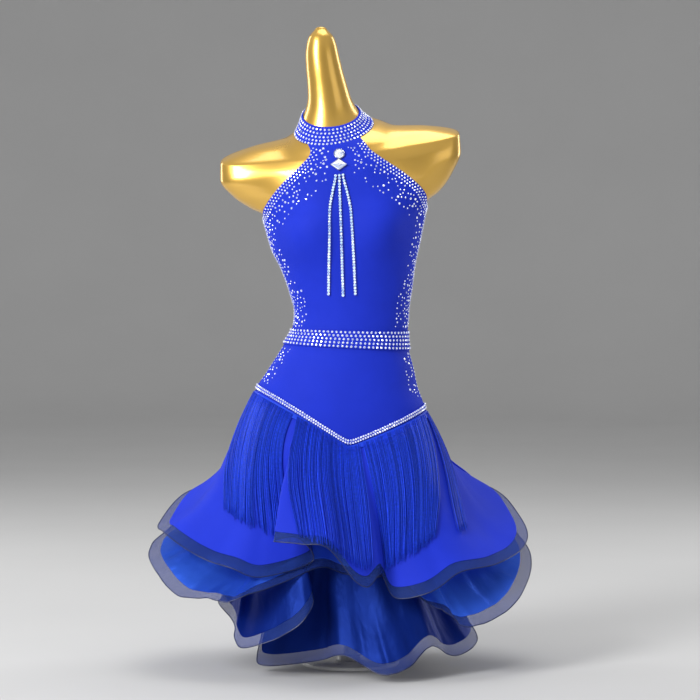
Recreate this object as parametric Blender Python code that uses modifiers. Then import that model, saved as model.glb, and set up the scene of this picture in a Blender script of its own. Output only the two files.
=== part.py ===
"""Salsa dance dress with a halter neckband, a fringed hip line and a layered flared skirt,
worn by a limbless dress form on a pole and a round base.

Metres, +Z up, the front of the dress faces -Y. Angles round the body are in degrees from
the centre front, positive towards +X, so the side seams lie at -90 and +90.
"""
import math
from bisect import bisect_right
from collections import namedtuple

import bmesh
import bpy
from mathutils import Matrix, Vector

# ---------------------------------------------------------------- driving dimensions
CLOTH = 0.002              # wall of the bodice and skirt layers
SEAM = 0.0003              # gap between neighbouring pieces
FORM_INSET = 0.0048        # dress form's skin, in from the cloth's outer face
ON_PANEL = 0.0009          # what lies on a fitted panel clears its facets by this
BAND_WALL = 0.0024         # neckband and waist belt
TRIM_WALL = 0.0022         # jewelled hip trim, which lies along the bodice's lower edge
TRIM_WIDTH = 0.010
BELT_LOW = 0.578
BELT_HIGH = 0.609
NECKBAND_LOW = 0.9710
NECKBAND_HIGH = 0.9966
NECKBAND_INSET = 0.0036    # neckband's inner face, just clear of the form's neck
BODICE_TOP = 0.9680
FORM_TOP = 1.148
FORM_BOTTOM = 0.330
FORM_EDGE = 0.012          # how far the underside's edge is rounded in
FORM_CROWN = 0.004         # rise of the neck's domed top
HIP_SIDE = 0.484           # hip seam's height at the side seams, before the hips' tilt
HIP_FRONT_TIP = 0.410      # lowest point of the front V
HIP_BACK_TIP = 0.452
HIP_TIP_TURN = 10.0        # the front V's tip lies this many degrees off the centre front
HIP_TIP_SOFTNESS = 0.05    # how rounded the V's tips are
HIP_FLATNESS = 1.6         # hips' width over their depth, which keeps the V's arms straight
SKIRT_DROP = 0.0030        # skirt's top edge, below the bodice's lower edge
BUST_ANGLE = 36.0
BUST_HEIGHT = 0.785
BUST_RISE = 0.020
BUST_SPREAD_ANGLE = 24.0
BUST_SPREAD_HEIGHT = 0.050
ARMHOLE_EASE = 0.0034      # how far the cloth stands off the form under the arms
ARMHOLE_EASE_HEIGHT = 0.830
ARMHOLE_EASE_SPREAD = 0.030
BACK_NECK_DROP = 0.055     # how far the back's top edge dips below the armholes
BACK_LEVEL_TOP = 0.720     # highest level row of the back panel
YOKE_TOP = 0.520           # lowest level row, above the hip V
SIDE_SEAM = 0.12           # degrees that each panel stops short of the side seam
BRAID_WIDTH = 0.020        # horsehair braid along each hem
BRAID_WALL = 0.0010
HEM_GAP = 0.0013           # cloth to braid
FRINGE_LENGTH = 0.222      # strand, below its backing strip
FRINGE_STRIP = (0.010, 0.030)          # backing strip's edges, as falls down the outer skirt
FRINGE_WALL = 0.0014       # strip's and strands' thickness
FRINGE_SHARE = 0.58        # part of each pitch that its strand fills
FRINGE_LIFT = 0.0030       # how far the strands clear the skirt
POLE_RADIUS = 0.0125
BASE_RADIUS = 0.088
BASE_HEIGHT = 0.008
BASE_RIM = 0.002           # rounding of the base's edges
BASE_CENTRE = (0.010, 0.025)
CHAIN_WIDTH = 0.0058
CHAIN_THICKNESS = 0.0026
STONE_HEIGHT = 0.0045
STONE_SEAT = 0.0018        # a stone's flat back clears the curved cloth by this
STONE_TABLE = 0.62         # flat top's size, as a part of the base's

# ---------------------------------------------------------------- tables
# The dress form and the fitted cloth follow these sections. shift is the centre's X,
# roll and pitch tilt the section sideways and forwards (rise per metre), and reach and
# arm are the half length and half depth of the capped shoulder stubs.
Section = namedtuple("Section", "height shift half_width front back roll pitch reach arm")
SECTIONS = (
    Section(0.330, -0.008, 0.122, 0.078, 0.088, -0.12, 0.00, 0.04, 0.02),
    Section(0.390, -0.009, 0.146, 0.088, 0.103, -0.12, 0.00, 0.04, 0.02),
    Section(0.450, -0.009, 0.155, 0.092, 0.112, -0.12, 0.00, 0.04, 0.02),
    Section(0.485, -0.0075, 0.151, 0.090, 0.110, -0.12, 0.00, 0.04, 0.02),
    Section(0.520, -0.005, 0.1355, 0.085, 0.097, -0.10, 0.00, 0.04, 0.02),
    Section(0.550, 0.000, 0.1235, 0.080, 0.085, -0.08, 0.00, 0.04, 0.02),
    Section(0.578, 0.003, 0.1120, 0.076, 0.076, -0.05, 0.00, 0.04, 0.02),
    Section(0.609, 0.009, 0.1035, 0.073, 0.070, -0.02, 0.00, 0.04, 0.02),
    Section(0.640, 0.012, 0.1035, 0.074, 0.070, 0.00, 0.00, 0.04, 0.02),
    Section(0.680, 0.010, 0.111, 0.077, 0.074, 0.01, 0.00, 0.04, 0.02),
    Section(0.720, 0.0055, 0.1205, 0.082, 0.080, 0.02, 0.00, 0.04, 0.02),
    Section(0.760, 0.001, 0.134, 0.086, 0.086, 0.04, 0.00, 0.05, 0.03),
    Section(0.800, 0.000, 0.1425, 0.087, 0.091, 0.06, 0.00, 0.05, 0.04),
    Section(0.820, 0.000, 0.1450, 0.0865, 0.093, 0.075, 0.01, 0.105, 0.045),
    Section(0.830, 0.000, 0.1457, 0.0858, 0.0936, 0.082, 0.018, 0.138, 0.0475),
    Section(0.840, 0.000, 0.146, 0.085, 0.094, 0.09, 0.03, 0.165, 0.050),
    Section(0.870, -0.004, 0.146, 0.083, 0.094, 0.11, 0.08, 0.200, 0.055),
    Section(0.905, -0.008, 0.140, 0.080, 0.092, 0.12, 0.18, 0.220, 0.056),
    Section(0.935, -0.009, 0.126, 0.074, 0.086, 0.12, 0.32, 0.219, 0.048),
    Section(0.952, -0.010, 0.110, 0.069, 0.080, 0.12, 0.42, 0.165, 0.030),
    Section(0.962, -0.013, 0.092, 0.066, 0.072, 0.125, 0.47, 0.050, 0.012),
    Section(0.9665, -0.017, 0.080, 0.064, 0.066, 0.132, 0.49, 0.03, 0.01),
    Section(0.9690, -0.0193, 0.0743, 0.063, 0.062, 0.139, 0.50, 0.03, 0.01),
    Section(0.9966, -0.0252, 0.0540, 0.048, 0.050, 0.065, 0.58, 0.01, 0.01),
    Section(1.022, -0.0280, 0.0440, 0.041, 0.044, 0.04, 0.45, 0.01, 0.01),
    Section(1.050, -0.0324, 0.0400, 0.038, 0.041, 0.02, 0.30, 0.01, 0.01),
    Section(1.080, -0.0378, 0.0372, 0.036, 0.038, 0.00, 0.15, 0.01, 0.01),
    Section(1.108, -0.0414, 0.0340, 0.033, 0.034, 0.00, 0.05, 0.01, 0.01),
    Section(1.132, -0.0425, 0.0280, 0.027, 0.028, 0.00, 0.00, 0.01, 0.01),
    Section(1.148, -0.0430, 0.0150, 0.015, 0.015, 0.00, 0.00, 0.01, 0.01),
)

# Half the front panel's width between the armhole edges, by section height.
Armhole = namedtuple("Armhole", "height half_span")
ARMHOLES = (
    Armhole(0.805, 0.1475),
    Armhole(0.835, 0.1445),
    Armhole(0.850, 0.1380),
    Armhole(0.870, 0.1235),
    Armhole(0.890, 0.1060),
    Armhole(0.910, 0.0870),
    Armhole(0.930, 0.0695),
    Armhole(0.950, 0.0545),
    Armhole(0.968, 0.0480),
)

# Each skirt layer hangs from the hips to these hem points, one for each crest, side and
# hollow of its flutes, in order round the body. hip is where that point's cloth leaves
# the hips, and flare is how far the hem kicks out, in degrees from hanging straight.
Hem = namedtuple("Hem", "hip x y z flare")
OUTER_HEM = (
    Hem(-165, -0.060, 0.250, 0.260, 50),
    Hem(-146, -0.130, 0.180, 0.290, 35),
    Hem(-129, -0.215, 0.212, 0.305, 55),
    Hem(-112, -0.295, 0.150, 0.300, 68),
    Hem(-97, -0.336, 0.030, 0.258, 76),
    Hem(-84, -0.325, -0.055, 0.250, 70),
    Hem(-73, -0.266, -0.120, 0.218, 58),
    Hem(-63, -0.198, -0.160, 0.197, 45),
    Hem(-59, -0.146, -0.164, 0.182, 34),
    Hem(-50, -0.056, -0.142, 0.208, 22),
    Hem(-42, -0.082, -0.158, 0.250, 14),
    Hem(-37, -0.122, -0.191, 0.248, 18),
    Hem(-27, -0.076, -0.214, 0.246, 32),
    Hem(-14, -0.030, -0.225, 0.240, 32),
    Hem(0, 0.014, -0.225, 0.186, 30),
    Hem(9, 0.040, -0.214, 0.172, 26),
    Hem(17, 0.060, -0.185, 0.190, 16),
    Hem(24, 0.068, -0.160, 0.178, 12),
    Hem(32, 0.090, -0.168, 0.146, 25),
    Hem(44, 0.148, -0.182, 0.158, 40),
    Hem(57, 0.200, -0.162, 0.190, 50),
    Hem(71, 0.270, -0.115, 0.200, 63),
    Hem(86, 0.325, -0.020, 0.225, 73),
    Hem(101, 0.322, 0.070, 0.260, 73),
    Hem(116, 0.270, 0.165, 0.308, 63),
    Hem(131, 0.200, 0.210, 0.312, 50),
    Hem(148, 0.130, 0.178, 0.290, 35),
    Hem(165, 0.060, 0.250, 0.255, 50),
)
FLOUNCE_HEM = (
    Hem(-165, -0.060, 0.262, 0.205, 45),
    Hem(-146, -0.140, 0.200, 0.230, 35),
    Hem(-129, -0.228, 0.222, 0.245, 55),
    Hem(-112, -0.310, 0.150, 0.245, 70),
    Hem(-97, -0.352, 0.020, 0.212, 78),
    Hem(-84, -0.340, -0.075, 0.188, 74),
    Hem(-73, -0.298, -0.132, 0.150, 65),
    Hem(-63, -0.236, -0.168, 0.143, 76),
    Hem(-56, -0.190, -0.186, 0.145, 68),
    Hem(-45, -0.108, -0.160, 0.172, 38),
    Hem(-34, -0.044, -0.138, 0.196, 14),
    Hem(-11, 0.000, -0.114, 0.182, 0),
    Hem(8, 0.055, -0.128, 0.178, 6),
    Hem(30, 0.078, -0.132, 0.180, 32),
    Hem(46, 0.150, -0.164, 0.132, 64),
    Hem(55, 0.184, -0.157, 0.114, 42),
    Hem(61, 0.214, -0.160, 0.094, 50),
    Hem(71, 0.264, -0.135, 0.106, 58),
    Hem(84, 0.312, -0.080, 0.138, 70),
    Hem(97, 0.338, 0.015, 0.188, 74),
    Hem(110, 0.320, 0.095, 0.225, 70),
    Hem(122, 0.270, 0.178, 0.258, 60),
    Hem(135, 0.202, 0.218, 0.252, 50),
    Hem(150, 0.132, 0.190, 0.230, 38),
    Hem(165, 0.060, 0.262, 0.200, 45),
)
PETTICOAT_HEM = (
    Hem(-165, -0.050, 0.205, 0.070, 28),
    Hem(-145, -0.115, 0.150, 0.095, 15),
    Hem(-125, -0.195, 0.145, 0.085, 35),
    Hem(-108, -0.215, 0.060, 0.110, 30),
    Hem(-98, -0.226, -0.030, 0.118, 35),
    Hem(-89, -0.196, -0.087, 0.090, 22),
    Hem(-81, -0.179, -0.152, 0.056, 50),
    Hem(-71, -0.090, -0.176, 0.092, 30),
    Hem(-67, -0.056, -0.162, 0.136, 18),
    Hem(-58, -0.075, -0.130, 0.160, 18),
    Hem(-45, -0.133, -0.100, 0.100, 24),
    Hem(-38, -0.157, -0.068, 0.032, 24),
    Hem(-30, -0.141, -0.070, 0.012, 22),
    Hem(-19, -0.055, -0.110, 0.026, 16),
    Hem(-5, 0.000, -0.148, 0.042, 24),
    Hem(13, 0.064, -0.180, 0.014, 28),
    Hem(19, 0.112, -0.184, 0.028, 30),
    Hem(36, 0.150, -0.144, 0.058, 16),
    Hem(52, 0.196, -0.105, 0.035, 30),
    Hem(68, 0.236, -0.050, 0.055, 38),
    Hem(88, 0.215, 0.025, 0.095, 25),
    Hem(108, 0.225, 0.095, 0.085, 35),
    Hem(126, 0.170, 0.160, 0.100, 25),
    Hem(146, 0.100, 0.160, 0.090, 15),
    Hem(165, 0.050, 0.210, 0.065, 28),
)

# A layer's name, its hem, how far below the hip seam it is sewn on, how far its top lies
# off the fitted surface, and how steeply and how far it springs off the hips.
Layer = namedtuple("Layer", "name hem drop lift spring pull finish")
LAYERS = (
    Layer("skirt_outer", OUTER_HEM, 0.0000, 0.0000, 30, 0.42, "jersey"),
    Layer("skirt_flounce", FLOUNCE_HEM, 0.0340, -0.0020, 22, 0.42, "satin"),
    Layer("skirt_petticoat", PETTICOAT_HEM, 0.0540, -0.0020, 8, 0.30, "satin"),
)

# The fringe is one backing strip round the hips. Its strands slide off the skirt's crests
# and hang in bunches: the angles of each bunch's first and last strand at the hips, and
# of the skirt's own cloth where their tips lie.
Bunch = namedtuple("Bunch", "root_start root_end tip_start tip_end")
FRINGE_PITCHES = 108
BUNCHES = (
    Bunch(-93, -47, -64, -56),
    Bunch(-44, 21, -28, 11),
    Bunch(26, 81, 27, 47),
    Bunch(83, 93, 60, 64),
    Bunch(104, 256, 117, 243),
)

# The two stones that hang from the neckband: sides of the cut, size across and down,
# X and section height.
Stone = namedtuple("Stone", "name sides across down x height")
STONES = (
    Stone("pendant_round", 12, 0.0184, 0.0184, -0.0100, 0.9490),
    Stone("pendant_square", 4, 0.0290, 0.0215, -0.0108, 0.9215),
)

# Colour, roughness and metallic share of each kind of material.
Finish = namedtuple("Finish", "colour roughness metallic")
FINISHES = {
    "gold": Finish((0.72, 0.42, 0.08, 1), 0.22, 0.9),
    "enamel": Finish((0.80, 0.80, 0.80, 1), 0.35, 0.0),
    "jersey": Finish((0.020, 0.040, 0.600, 1), 0.70, 0.0),
    "satin": Finish((0.060, 0.160, 0.760, 1), 0.30, 0.0),
    "horsehair": Finish((0.100, 0.140, 0.350, 1), 0.45, 0.0),
    "thread": Finish((0.030, 0.100, 0.700, 1), 0.55, 0.0),
    "crystal": Finish((0.750, 0.800, 0.950, 1), 0.15, 0.0),
}

# The three stone chains, from the pendant down: X of the top, bend and end.
Chain = namedtuple("Chain", "name top bend end")
CHAIN_HEIGHTS = (0.892, 0.815, 0.668)
CHAINS = (
    Chain("chain_left", -0.0165, -0.0275, -0.0285),
    Chain("chain_middle", -0.0100, -0.0080, -0.0030),
    Chain("chain_right", -0.0035, 0.0110, 0.0185),
)

# ---------------------------------------------------------------- sampling
FRONT_COLUMNS = 18
YOKE_ROWS = 4
BAND_COLUMNS = 36
BASE_SIDES = 32
POLE_SIDES = 16
COLUMNS_PER_HEM_ROW = 3
SKIRT_FALLS = (0, 0.27, 0.51, 0.71, 0.87, 1)
CHAIN_ROWS = 8
HALVINGS = 30              # steps of each search for a place or an angle
NUDGE = 0.02               # step for slopes, in hem rows or falls
SHARP_ANGLE = 50.0         # edges sharper than this aren't smoothed, in degrees


# ---------------------------------------------------------------- curves through tables
def catmull(values, i, t):
    """Smooth value between entries i and i+1 of a list whose ends are repeated."""
    a, b, c, d = (values[max(0, min(len(values) - 1, i + k))] for k in (-1, 0, 1, 2))
    return b + 0.5 * t * (c - a + t * (2 * a - 5 * b + 4 * c - d + t * (3 * (b - c) + d - a)))


def column(table, name):
    return [getattr(row, name) for row in table]


def hermite(keys, values, key):
    """Smooth value at a key, with slopes that follow uneven spacing and never overshoot."""
    key = max(keys[0], min(keys[-1], key))
    i = min(len(keys) - 2, max(0, bisect_right(keys, key) - 1))

    def chord(k):
        return (values[k + 1] - values[k]) / (keys[k + 1] - keys[k])

    def slope(k):
        if k == 0:
            return chord(0)
        if k == len(keys) - 1:
            return chord(k - 1)
        before, after = chord(k - 1), chord(k)
        if before * after <= 0:
            return 0.0
        return 2 * before * after / (before + after)

    span = keys[i + 1] - keys[i]
    t = (key - keys[i]) / span
    start, end = values[i], values[i + 1]
    rise = slope(i) * span
    fall = slope(i + 1) * span
    return (
        start * (1 + 2 * t) * (1 - t) ** 2
        + rise * t * (1 - t) ** 2
        + end * t * t * (3 - 2 * t)
        + fall * t * t * (t - 1)
    )


HEIGHTS = column(SECTIONS, "height")
SECTION_COLUMNS = {name: column(SECTIONS, name) for name in Section._fields}


def section_at(height):
    return Section(*(hermite(HEIGHTS, SECTION_COLUMNS[name], height) for name in Section._fields))


# ---------------------------------------------------------------- the fitted surface
def body_radius(cut, angle, height):
    """Distance from the body's axis to the cloth's outer face."""
    across = math.sin(math.radians(angle))
    ahead = math.cos(math.radians(angle))
    depth = cut.front if ahead > 0 else cut.back
    trunk = 1 / math.hypot(across / cut.half_width, ahead / depth)
    stub = (abs(across / cut.reach) ** 3 + abs(ahead / cut.arm) ** 3) ** (-1 / 3)
    radius = (trunk ** 8 + stub ** 8) ** (1 / 8)
    for side in (-1, 1):
        turn = (angle - side * BUST_ANGLE) / BUST_SPREAD_ANGLE
        climb = (height - BUST_HEIGHT) / BUST_SPREAD_HEIGHT
        radius += BUST_RISE * math.exp(-turn * turn - climb * climb)
    return radius


def body_point(angle, height, out=0.0):
    """Point of the fitted cloth's outer face, moved out by a distance."""
    cut = section_at(height)
    radius = body_radius(cut, angle, height) + out
    x = radius * math.sin(math.radians(angle))
    y = -radius * math.cos(math.radians(angle))
    return Vector((cut.shift + x, y, height + cut.roll * x + cut.pitch * y))


def hip_line(angle):
    """Height of the hip seam: a V at the front and a shallower one at the back."""
    ahead = math.cos(math.radians(angle))
    tip = HIP_FRONT_TIP if ahead > 0 else HIP_BACK_TIP
    turned = math.radians(angle - HIP_TIP_TURN * max(0.0, ahead))
    aside = math.sin(turned) / math.hypot(math.sin(turned), HIP_FLATNESS * math.cos(turned))
    rise = math.hypot(aside, HIP_TIP_SOFTNESS) - HIP_TIP_SOFTNESS
    return tip + (HIP_SIDE - tip) * rise / (math.hypot(1, HIP_TIP_SOFTNESS) - HIP_TIP_SOFTNESS)


def armhole_angle(height):
    """Angle of the armhole edge at a section height, 90 where the sides are closed."""
    if height <= ARMHOLES[0].height:
        return 90.0
    half_span = hermite(column(ARMHOLES, "height"), column(ARMHOLES, "half_span"), height)
    low, high = 0.0, 90.0
    for _ in range(HALVINGS):
        middle = (low + high) / 2
        cut = section_at(height)
        reached = body_radius(cut, middle, height) * math.sin(math.radians(middle))
        low, high = (middle, high) if reached < half_span else (low, middle)
    return low


def angle_at(x, height):
    """Angle of the front surface at an X position."""
    low, high = -80.0, 80.0
    for _ in range(HALVINGS):
        middle = (low + high) / 2
        low, high = (middle, high) if body_point(middle, height).x < x else (low, middle)
    return low


# ---------------------------------------------------------------- mesh helpers
def add_object(name, mesh, finish, collection):
    """Object with its own material, smooth but for its sharp edges."""
    look = FINISHES[finish]
    own = bpy.data.materials.new(name)
    own.use_nodes = True
    shader = own.node_tree.nodes["Principled BSDF"]
    shader.inputs["Base Color"].default_value = look.colour
    shader.inputs["Roughness"].default_value = look.roughness
    shader.inputs["Metallic"].default_value = look.metallic
    own.diffuse_color = look.colour
    mesh.materials.append(own)
    piece = bpy.data.objects.new(name, mesh)
    collection.objects.link(piece)
    mesh.shade_smooth()
    mesh.set_sharp_from_angle(angle=math.radians(SHARP_ANGLE))
    return piece


def mesh_from(form, name):
    """Mesh of a finished form, with its faces turned outwards."""
    bmesh.ops.recalc_face_normals(form, faces=form.faces)
    mesh = bpy.data.meshes.new(name)
    form.to_mesh(mesh)
    form.free()
    return mesh


def wall_mesh(name, inner, outer, closed):
    """Closed wall between two grids of points, open at its ends or joined round."""
    form = bmesh.new()
    sides = []
    for grid in (inner, outer):
        sides.append([[form.verts.new(point) for point in row] for row in grid])
    rows = len(inner)
    columns = len(inner[0])
    spans = columns if closed else columns - 1

    for side in sides:
        for low, high in zip(side, side[1:]):
            for j in range(spans):
                k = (j + 1) % columns
                form.faces.new((low[j], low[k], high[k], high[j]))
    for i in (0, -1):
        for j in range(spans):
            k = (j + 1) % columns
            form.faces.new((sides[0][i][j], sides[0][i][k], sides[1][i][k], sides[1][i][j]))
    if not closed:
        for i in range(rows - 1):
            for j in (0, -1):
                form.faces.new((sides[0][i][j], sides[0][i + 1][j],
                                sides[1][i + 1][j], sides[1][i][j]))
    return mesh_from(form, name)


# ---------------------------------------------------------------- dress form and stand
def form_angles():
    """Angles round the form: the fitted cloth's own columns, and two more at each stub."""
    step = 180 / FRONT_COLUMNS
    angles = [step * j - 180 for j in range(2 * FRONT_COLUMNS)]
    angles += [side * (90 + half * step / 2) for side in (-1, 1) for half in (-1, 1)]
    return sorted(angles)


def build_form(collection):
    """Smooth limbless torso with capped shoulder stubs, a neck and a flat underside."""
    angles = form_angles()
    count = len(angles)
    form = bmesh.new()
    rings = []
    for row in SECTIONS:
        shrink = -FORM_INSET
        if row.height == FORM_BOTTOM:
            shrink -= FORM_EDGE
        ring = [body_point(angle, row.height, shrink) for angle in angles]
        if row.height == FORM_BOTTOM:
            for point in ring:
                point.z = FORM_BOTTOM
        rings.append([form.verts.new(point) for point in ring])
    for low, high in zip(rings, rings[1:]):
        for j in range(count):
            k = (j + 1) % count
            form.faces.new((low[j], low[k], high[k], high[j]))
    form.faces.new(rings[0][::-1])
    crown = form.verts.new(body_point(0, FORM_TOP).lerp(body_point(180, FORM_TOP), 0.5))
    crown.co.z = FORM_TOP + FORM_CROWN
    for j in range(count):
        form.faces.new((rings[-1][j], rings[-1][(j + 1) % count], crown))
    add_object("form_torso", mesh_from(form, "form_torso"), "gold", collection)


def turned(name, radius, low, high, sides, collection):
    """Round upright piece of the stand."""
    form = bmesh.new()
    bmesh.ops.create_cone(form, cap_ends=True, segments=sides, radius1=radius,
                          radius2=radius, depth=high - low)
    piece = add_object(name, mesh_from(form, name), "enamel", collection)
    piece.location = (BASE_CENTRE[0], BASE_CENTRE[1], (low + high) / 2)
    return piece


def build_stand(collection):
    """Round base with a softened rim, and the pole that carries the form."""
    base = turned("stand_base", BASE_RADIUS, 0.0, BASE_HEIGHT, BASE_SIDES, collection)
    rim = base.modifiers.new("rim", "BEVEL")
    rim.width = BASE_RIM
    rim.segments = 1
    rim.limit_method = "ANGLE"
    turned("stand_pole", POLE_RADIUS, BASE_HEIGHT + SEAM, FORM_BOTTOM - SEAM, POLE_SIDES,
           collection)


# ---------------------------------------------------------------- bodice and bands
def yoke_heights(angle):
    """Heights from the hip seam up to where the fitted rows run level."""
    low = hip_line(angle)
    return [low + (YOKE_TOP - low) * i / YOKE_ROWS for i in range(YOKE_ROWS)]


def level_heights(low, high):
    """Section heights between two limits: rows that the form and the cloth share."""
    return [row.height for row in SECTIONS if low <= row.height < high]


def build_bodice_front(collection):
    """Halter front from the hip V to the neckband, cut away at the armholes."""
    level = level_heights(YOKE_TOP, BODICE_TOP) + [BODICE_TOP]

    def grid(out):
        columns = []
        for j in range(FRONT_COLUMNS + 1):
            side = 2 * j / FRONT_COLUMNS - 1
            points = []
            for height in yoke_heights(90 * side) + level:
                edge = min(armhole_angle(height), 90 - SIDE_SEAM)
                climb = (height - ARMHOLE_EASE_HEIGHT) / ARMHOLE_EASE_SPREAD
                ease = ARMHOLE_EASE * side * side * math.exp(-climb * climb)
                points.append(body_point(side * edge, height, out + ease))
            columns.append(points)
        return [list(row) for row in zip(*columns)]

    mesh = wall_mesh("bodice_front", grid(-CLOTH), grid(0.0), closed=False)
    add_object("bodice_front", mesh, "jersey", collection)


def build_bodice_back(collection):
    """Low back from the hip seam to a curved top edge between the armholes."""
    level = level_heights(YOKE_TOP, BACK_LEVEL_TOP + SEAM)

    def grid(out):
        columns = []
        for j in range(FRONT_COLUMNS + 1):
            angle = 90 + SIDE_SEAM + (180 - 2 * SIDE_SEAM) * j / FRONT_COLUMNS
            dip = BACK_NECK_DROP * math.cos(math.radians(angle)) ** 2
            top = ARMHOLES[0].height - dip
            ends = [BACK_LEVEL_TOP + (top - BACK_LEVEL_TOP) * t for t in (0.5, 1)]
            heights = yoke_heights(angle) + level + ends
            columns.append([body_point(angle, height, out) for height in heights])
        return [list(row) for row in zip(*columns)]

    mesh = wall_mesh("bodice_back", grid(-CLOTH), grid(0.0), closed=False)
    add_object("bodice_back", mesh, "jersey", collection)


def build_band(name, low, high, out, wall, collection):
    """Band closed round the body between two height functions of the angle."""
    angles = [360 * j / BAND_COLUMNS - 180 for j in range(BAND_COLUMNS)]

    def grid(lift):
        return [[body_point(angle, edge(angle), lift) for angle in angles]
                for edge in (low, high)]

    mesh = wall_mesh(name, grid(out), grid(out + wall), closed=True)
    add_object(name, mesh, "crystal", collection)


def build_bands(collection):
    """Neckband, waist belt and the jewelled trim along the hip seam."""
    build_band("neckband", lambda angle: NECKBAND_LOW, lambda angle: NECKBAND_HIGH,
               -NECKBAND_INSET, BAND_WALL, collection)
    build_band("waist_belt", lambda angle: BELT_LOW, lambda angle: BELT_HIGH,
               ON_PANEL, BAND_WALL, collection)
    build_band("hip_trim", hip_line, lambda angle: hip_line(angle) + TRIM_WIDTH,
               ON_PANEL, TRIM_WALL, collection)


# ---------------------------------------------------------------- skirt layers
def hem_at(hem, place):
    """Hem values at a place from 0 to the number of rows, round the closed table."""
    count = len(hem)
    i = int(math.floor(place)) % count
    t = place - math.floor(place)
    rows = [hem[(i + k) % count] for k in (-1, 0, 1, 2)]
    hips = [row.hip for row in rows]
    for k in range(1, 4):
        while hips[k] < hips[k - 1]:
            hips[k] += 360
    values = [catmull(hips, 1, t)]
    for name in ("x", "y", "z", "flare"):
        values.append(catmull([getattr(row, name) for row in rows], 1, t))
    values[0] = (values[0] + 180) % 360 - 180
    return Hem(*values)


def hang(layer, place, fall):
    """Point of a layer's inner face: fall runs from 0 at the hips to 1 at the hem."""
    end = hem_at(layer.hem, place)
    start_height = hip_line(end.hip) - SKIRT_DROP - layer.drop
    start = body_point(end.hip, start_height, layer.lift - CLOTH)
    goal = Vector((end.x, end.y, end.z))
    outward = Vector((math.sin(math.radians(end.hip)), -math.cos(math.radians(end.hip)), 0))
    length = (goal - start).length
    spring = math.radians(layer.spring)
    leave = Vector((0, 0, -math.cos(spring))) + outward * math.sin(spring)
    away = (Vector((goal.x, goal.y, 0)) - Vector((start.x, start.y, 0))).normalized()
    flare = math.radians(end.flare)
    arrive = Vector((0, 0, -math.cos(flare))) + away * math.sin(flare)
    first = start + leave * length * layer.pull
    second = goal - arrive * length * 0.38
    keep = 1 - fall
    return (
        start * keep ** 3
        + first * 3 * keep * keep * fall
        + second * 3 * keep * fall * fall
        + goal * fall ** 3
    )


def off_cloth(layer, place, fall, shift):
    """Point of a layer moved out along its surface normal."""
    return hang(layer, place, fall) + layer_normal(layer, place, fall) * shift


def layer_grid(layer, falls, shift):
    """Grid of a layer's points at a list of falls, moved out along the surface normal."""
    places = [j / COLUMNS_PER_HEM_ROW for j in range(len(layer.hem) * COLUMNS_PER_HEM_ROW)]
    return [[off_cloth(layer, place, fall, shift) for place in places] for fall in falls]


def layer_normal(layer, place, fall):
    """Outward normal of a layer, from points a little to each side."""
    along = hang(layer, place + NUDGE, fall) - hang(layer, place - NUDGE, fall)
    low = max(0.0, fall - NUDGE)
    high = min(1.0, fall + NUDGE)
    down = hang(layer, place, high) - hang(layer, place, low)
    return down.cross(along).normalized()


def braid_fall(layer):
    """Fall at which the cloth ends and the braid begins, the same all round."""
    last = 1 - NUDGE
    lengths = [(hang(layer, k, 1.0) - hang(layer, k, last)).length
               for k in range(len(layer.hem))]
    return 1 - NUDGE * BRAID_WIDTH / (sum(lengths) / len(lengths))


def cloth_falls(layer):
    """Falls of a layer's rows of points, down to just short of its braid."""
    end = braid_fall(layer)
    end -= HEM_GAP / BRAID_WIDTH * (1 - end)
    return [fall * end for fall in SKIRT_FALLS]


def build_layer(layer, collection):
    """Flared layer of the skirt."""
    falls = cloth_falls(layer)
    mesh = wall_mesh(layer.name, layer_grid(layer, falls, 0.0),
                     layer_grid(layer, falls, CLOTH), closed=True)
    add_object(layer.name, mesh, layer.finish, collection)


def build_braid(layer, collection):
    """Stiff braid along a layer's hem."""
    name = layer.name.replace("skirt", "braid")
    falls = (braid_fall(layer), 1)
    middle = CLOTH / 2
    mesh = wall_mesh(name, layer_grid(layer, falls, middle - BRAID_WALL / 2),
                     layer_grid(layer, falls, middle + BRAID_WALL / 2), closed=True)
    add_object(name, mesh, "horsehair", collection)


# ---------------------------------------------------------------- fringe
def place_at(hem, hip):
    """Place along a hem whose cloth leaves the hips at an angle."""
    first = hem[0].hip
    low, high = 0.0, float(len(hem))
    for _ in range(HALVINGS):
        middle = (low + high) / 2
        short = (hem_at(hem, middle).hip - first) % 360 < (hip - first) % 360
        low, high = (middle, high) if short else (low, middle)
    return low


def facet_point(layer, falls, place, fall, lift):
    """Point above a layer's outer face, on the straight line between its rows of points."""
    i = min(len(falls) - 2, max(0, bisect_right(falls, fall) - 1))
    ends = [off_cloth(layer, place, falls[k], CLOTH + lift) for k in (i, i + 1)]
    return ends[0].lerp(ends[1], (fall - falls[i]) / (falls[i + 1] - falls[i]))


def strand_rings(layer, falls, edges):
    """Rings of three points down a strand, from below its root to its tip."""
    def ring(fall):
        drop = fall / falls[-1]
        left, right = (place_at(layer.hem, root + (tip - root) * drop) for root, tip in edges)
        middle = left + (right - left) % len(layer.hem) / 2
        return [facet_point(layer, falls, left, fall, FRINGE_LIFT),
                facet_point(layer, falls, middle, fall, FRINGE_LIFT + FRINGE_WALL),
                facet_point(layer, falls, right, fall, FRINGE_LIFT)]

    rings = []
    length = 0.0
    before = ring(FRINGE_STRIP[1])
    start = FRINGE_STRIP[1]
    for fall in falls[1:]:
        after = ring(fall)
        step = (after[1] - before[1]).length
        if length + step > FRINGE_LENGTH:
            fall = start + (fall - start) * (FRINGE_LENGTH - length) / step
            return rings + [ring(fall)]
        rings.append(after)
        length += step
        before, start = after, fall
    return rings


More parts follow.
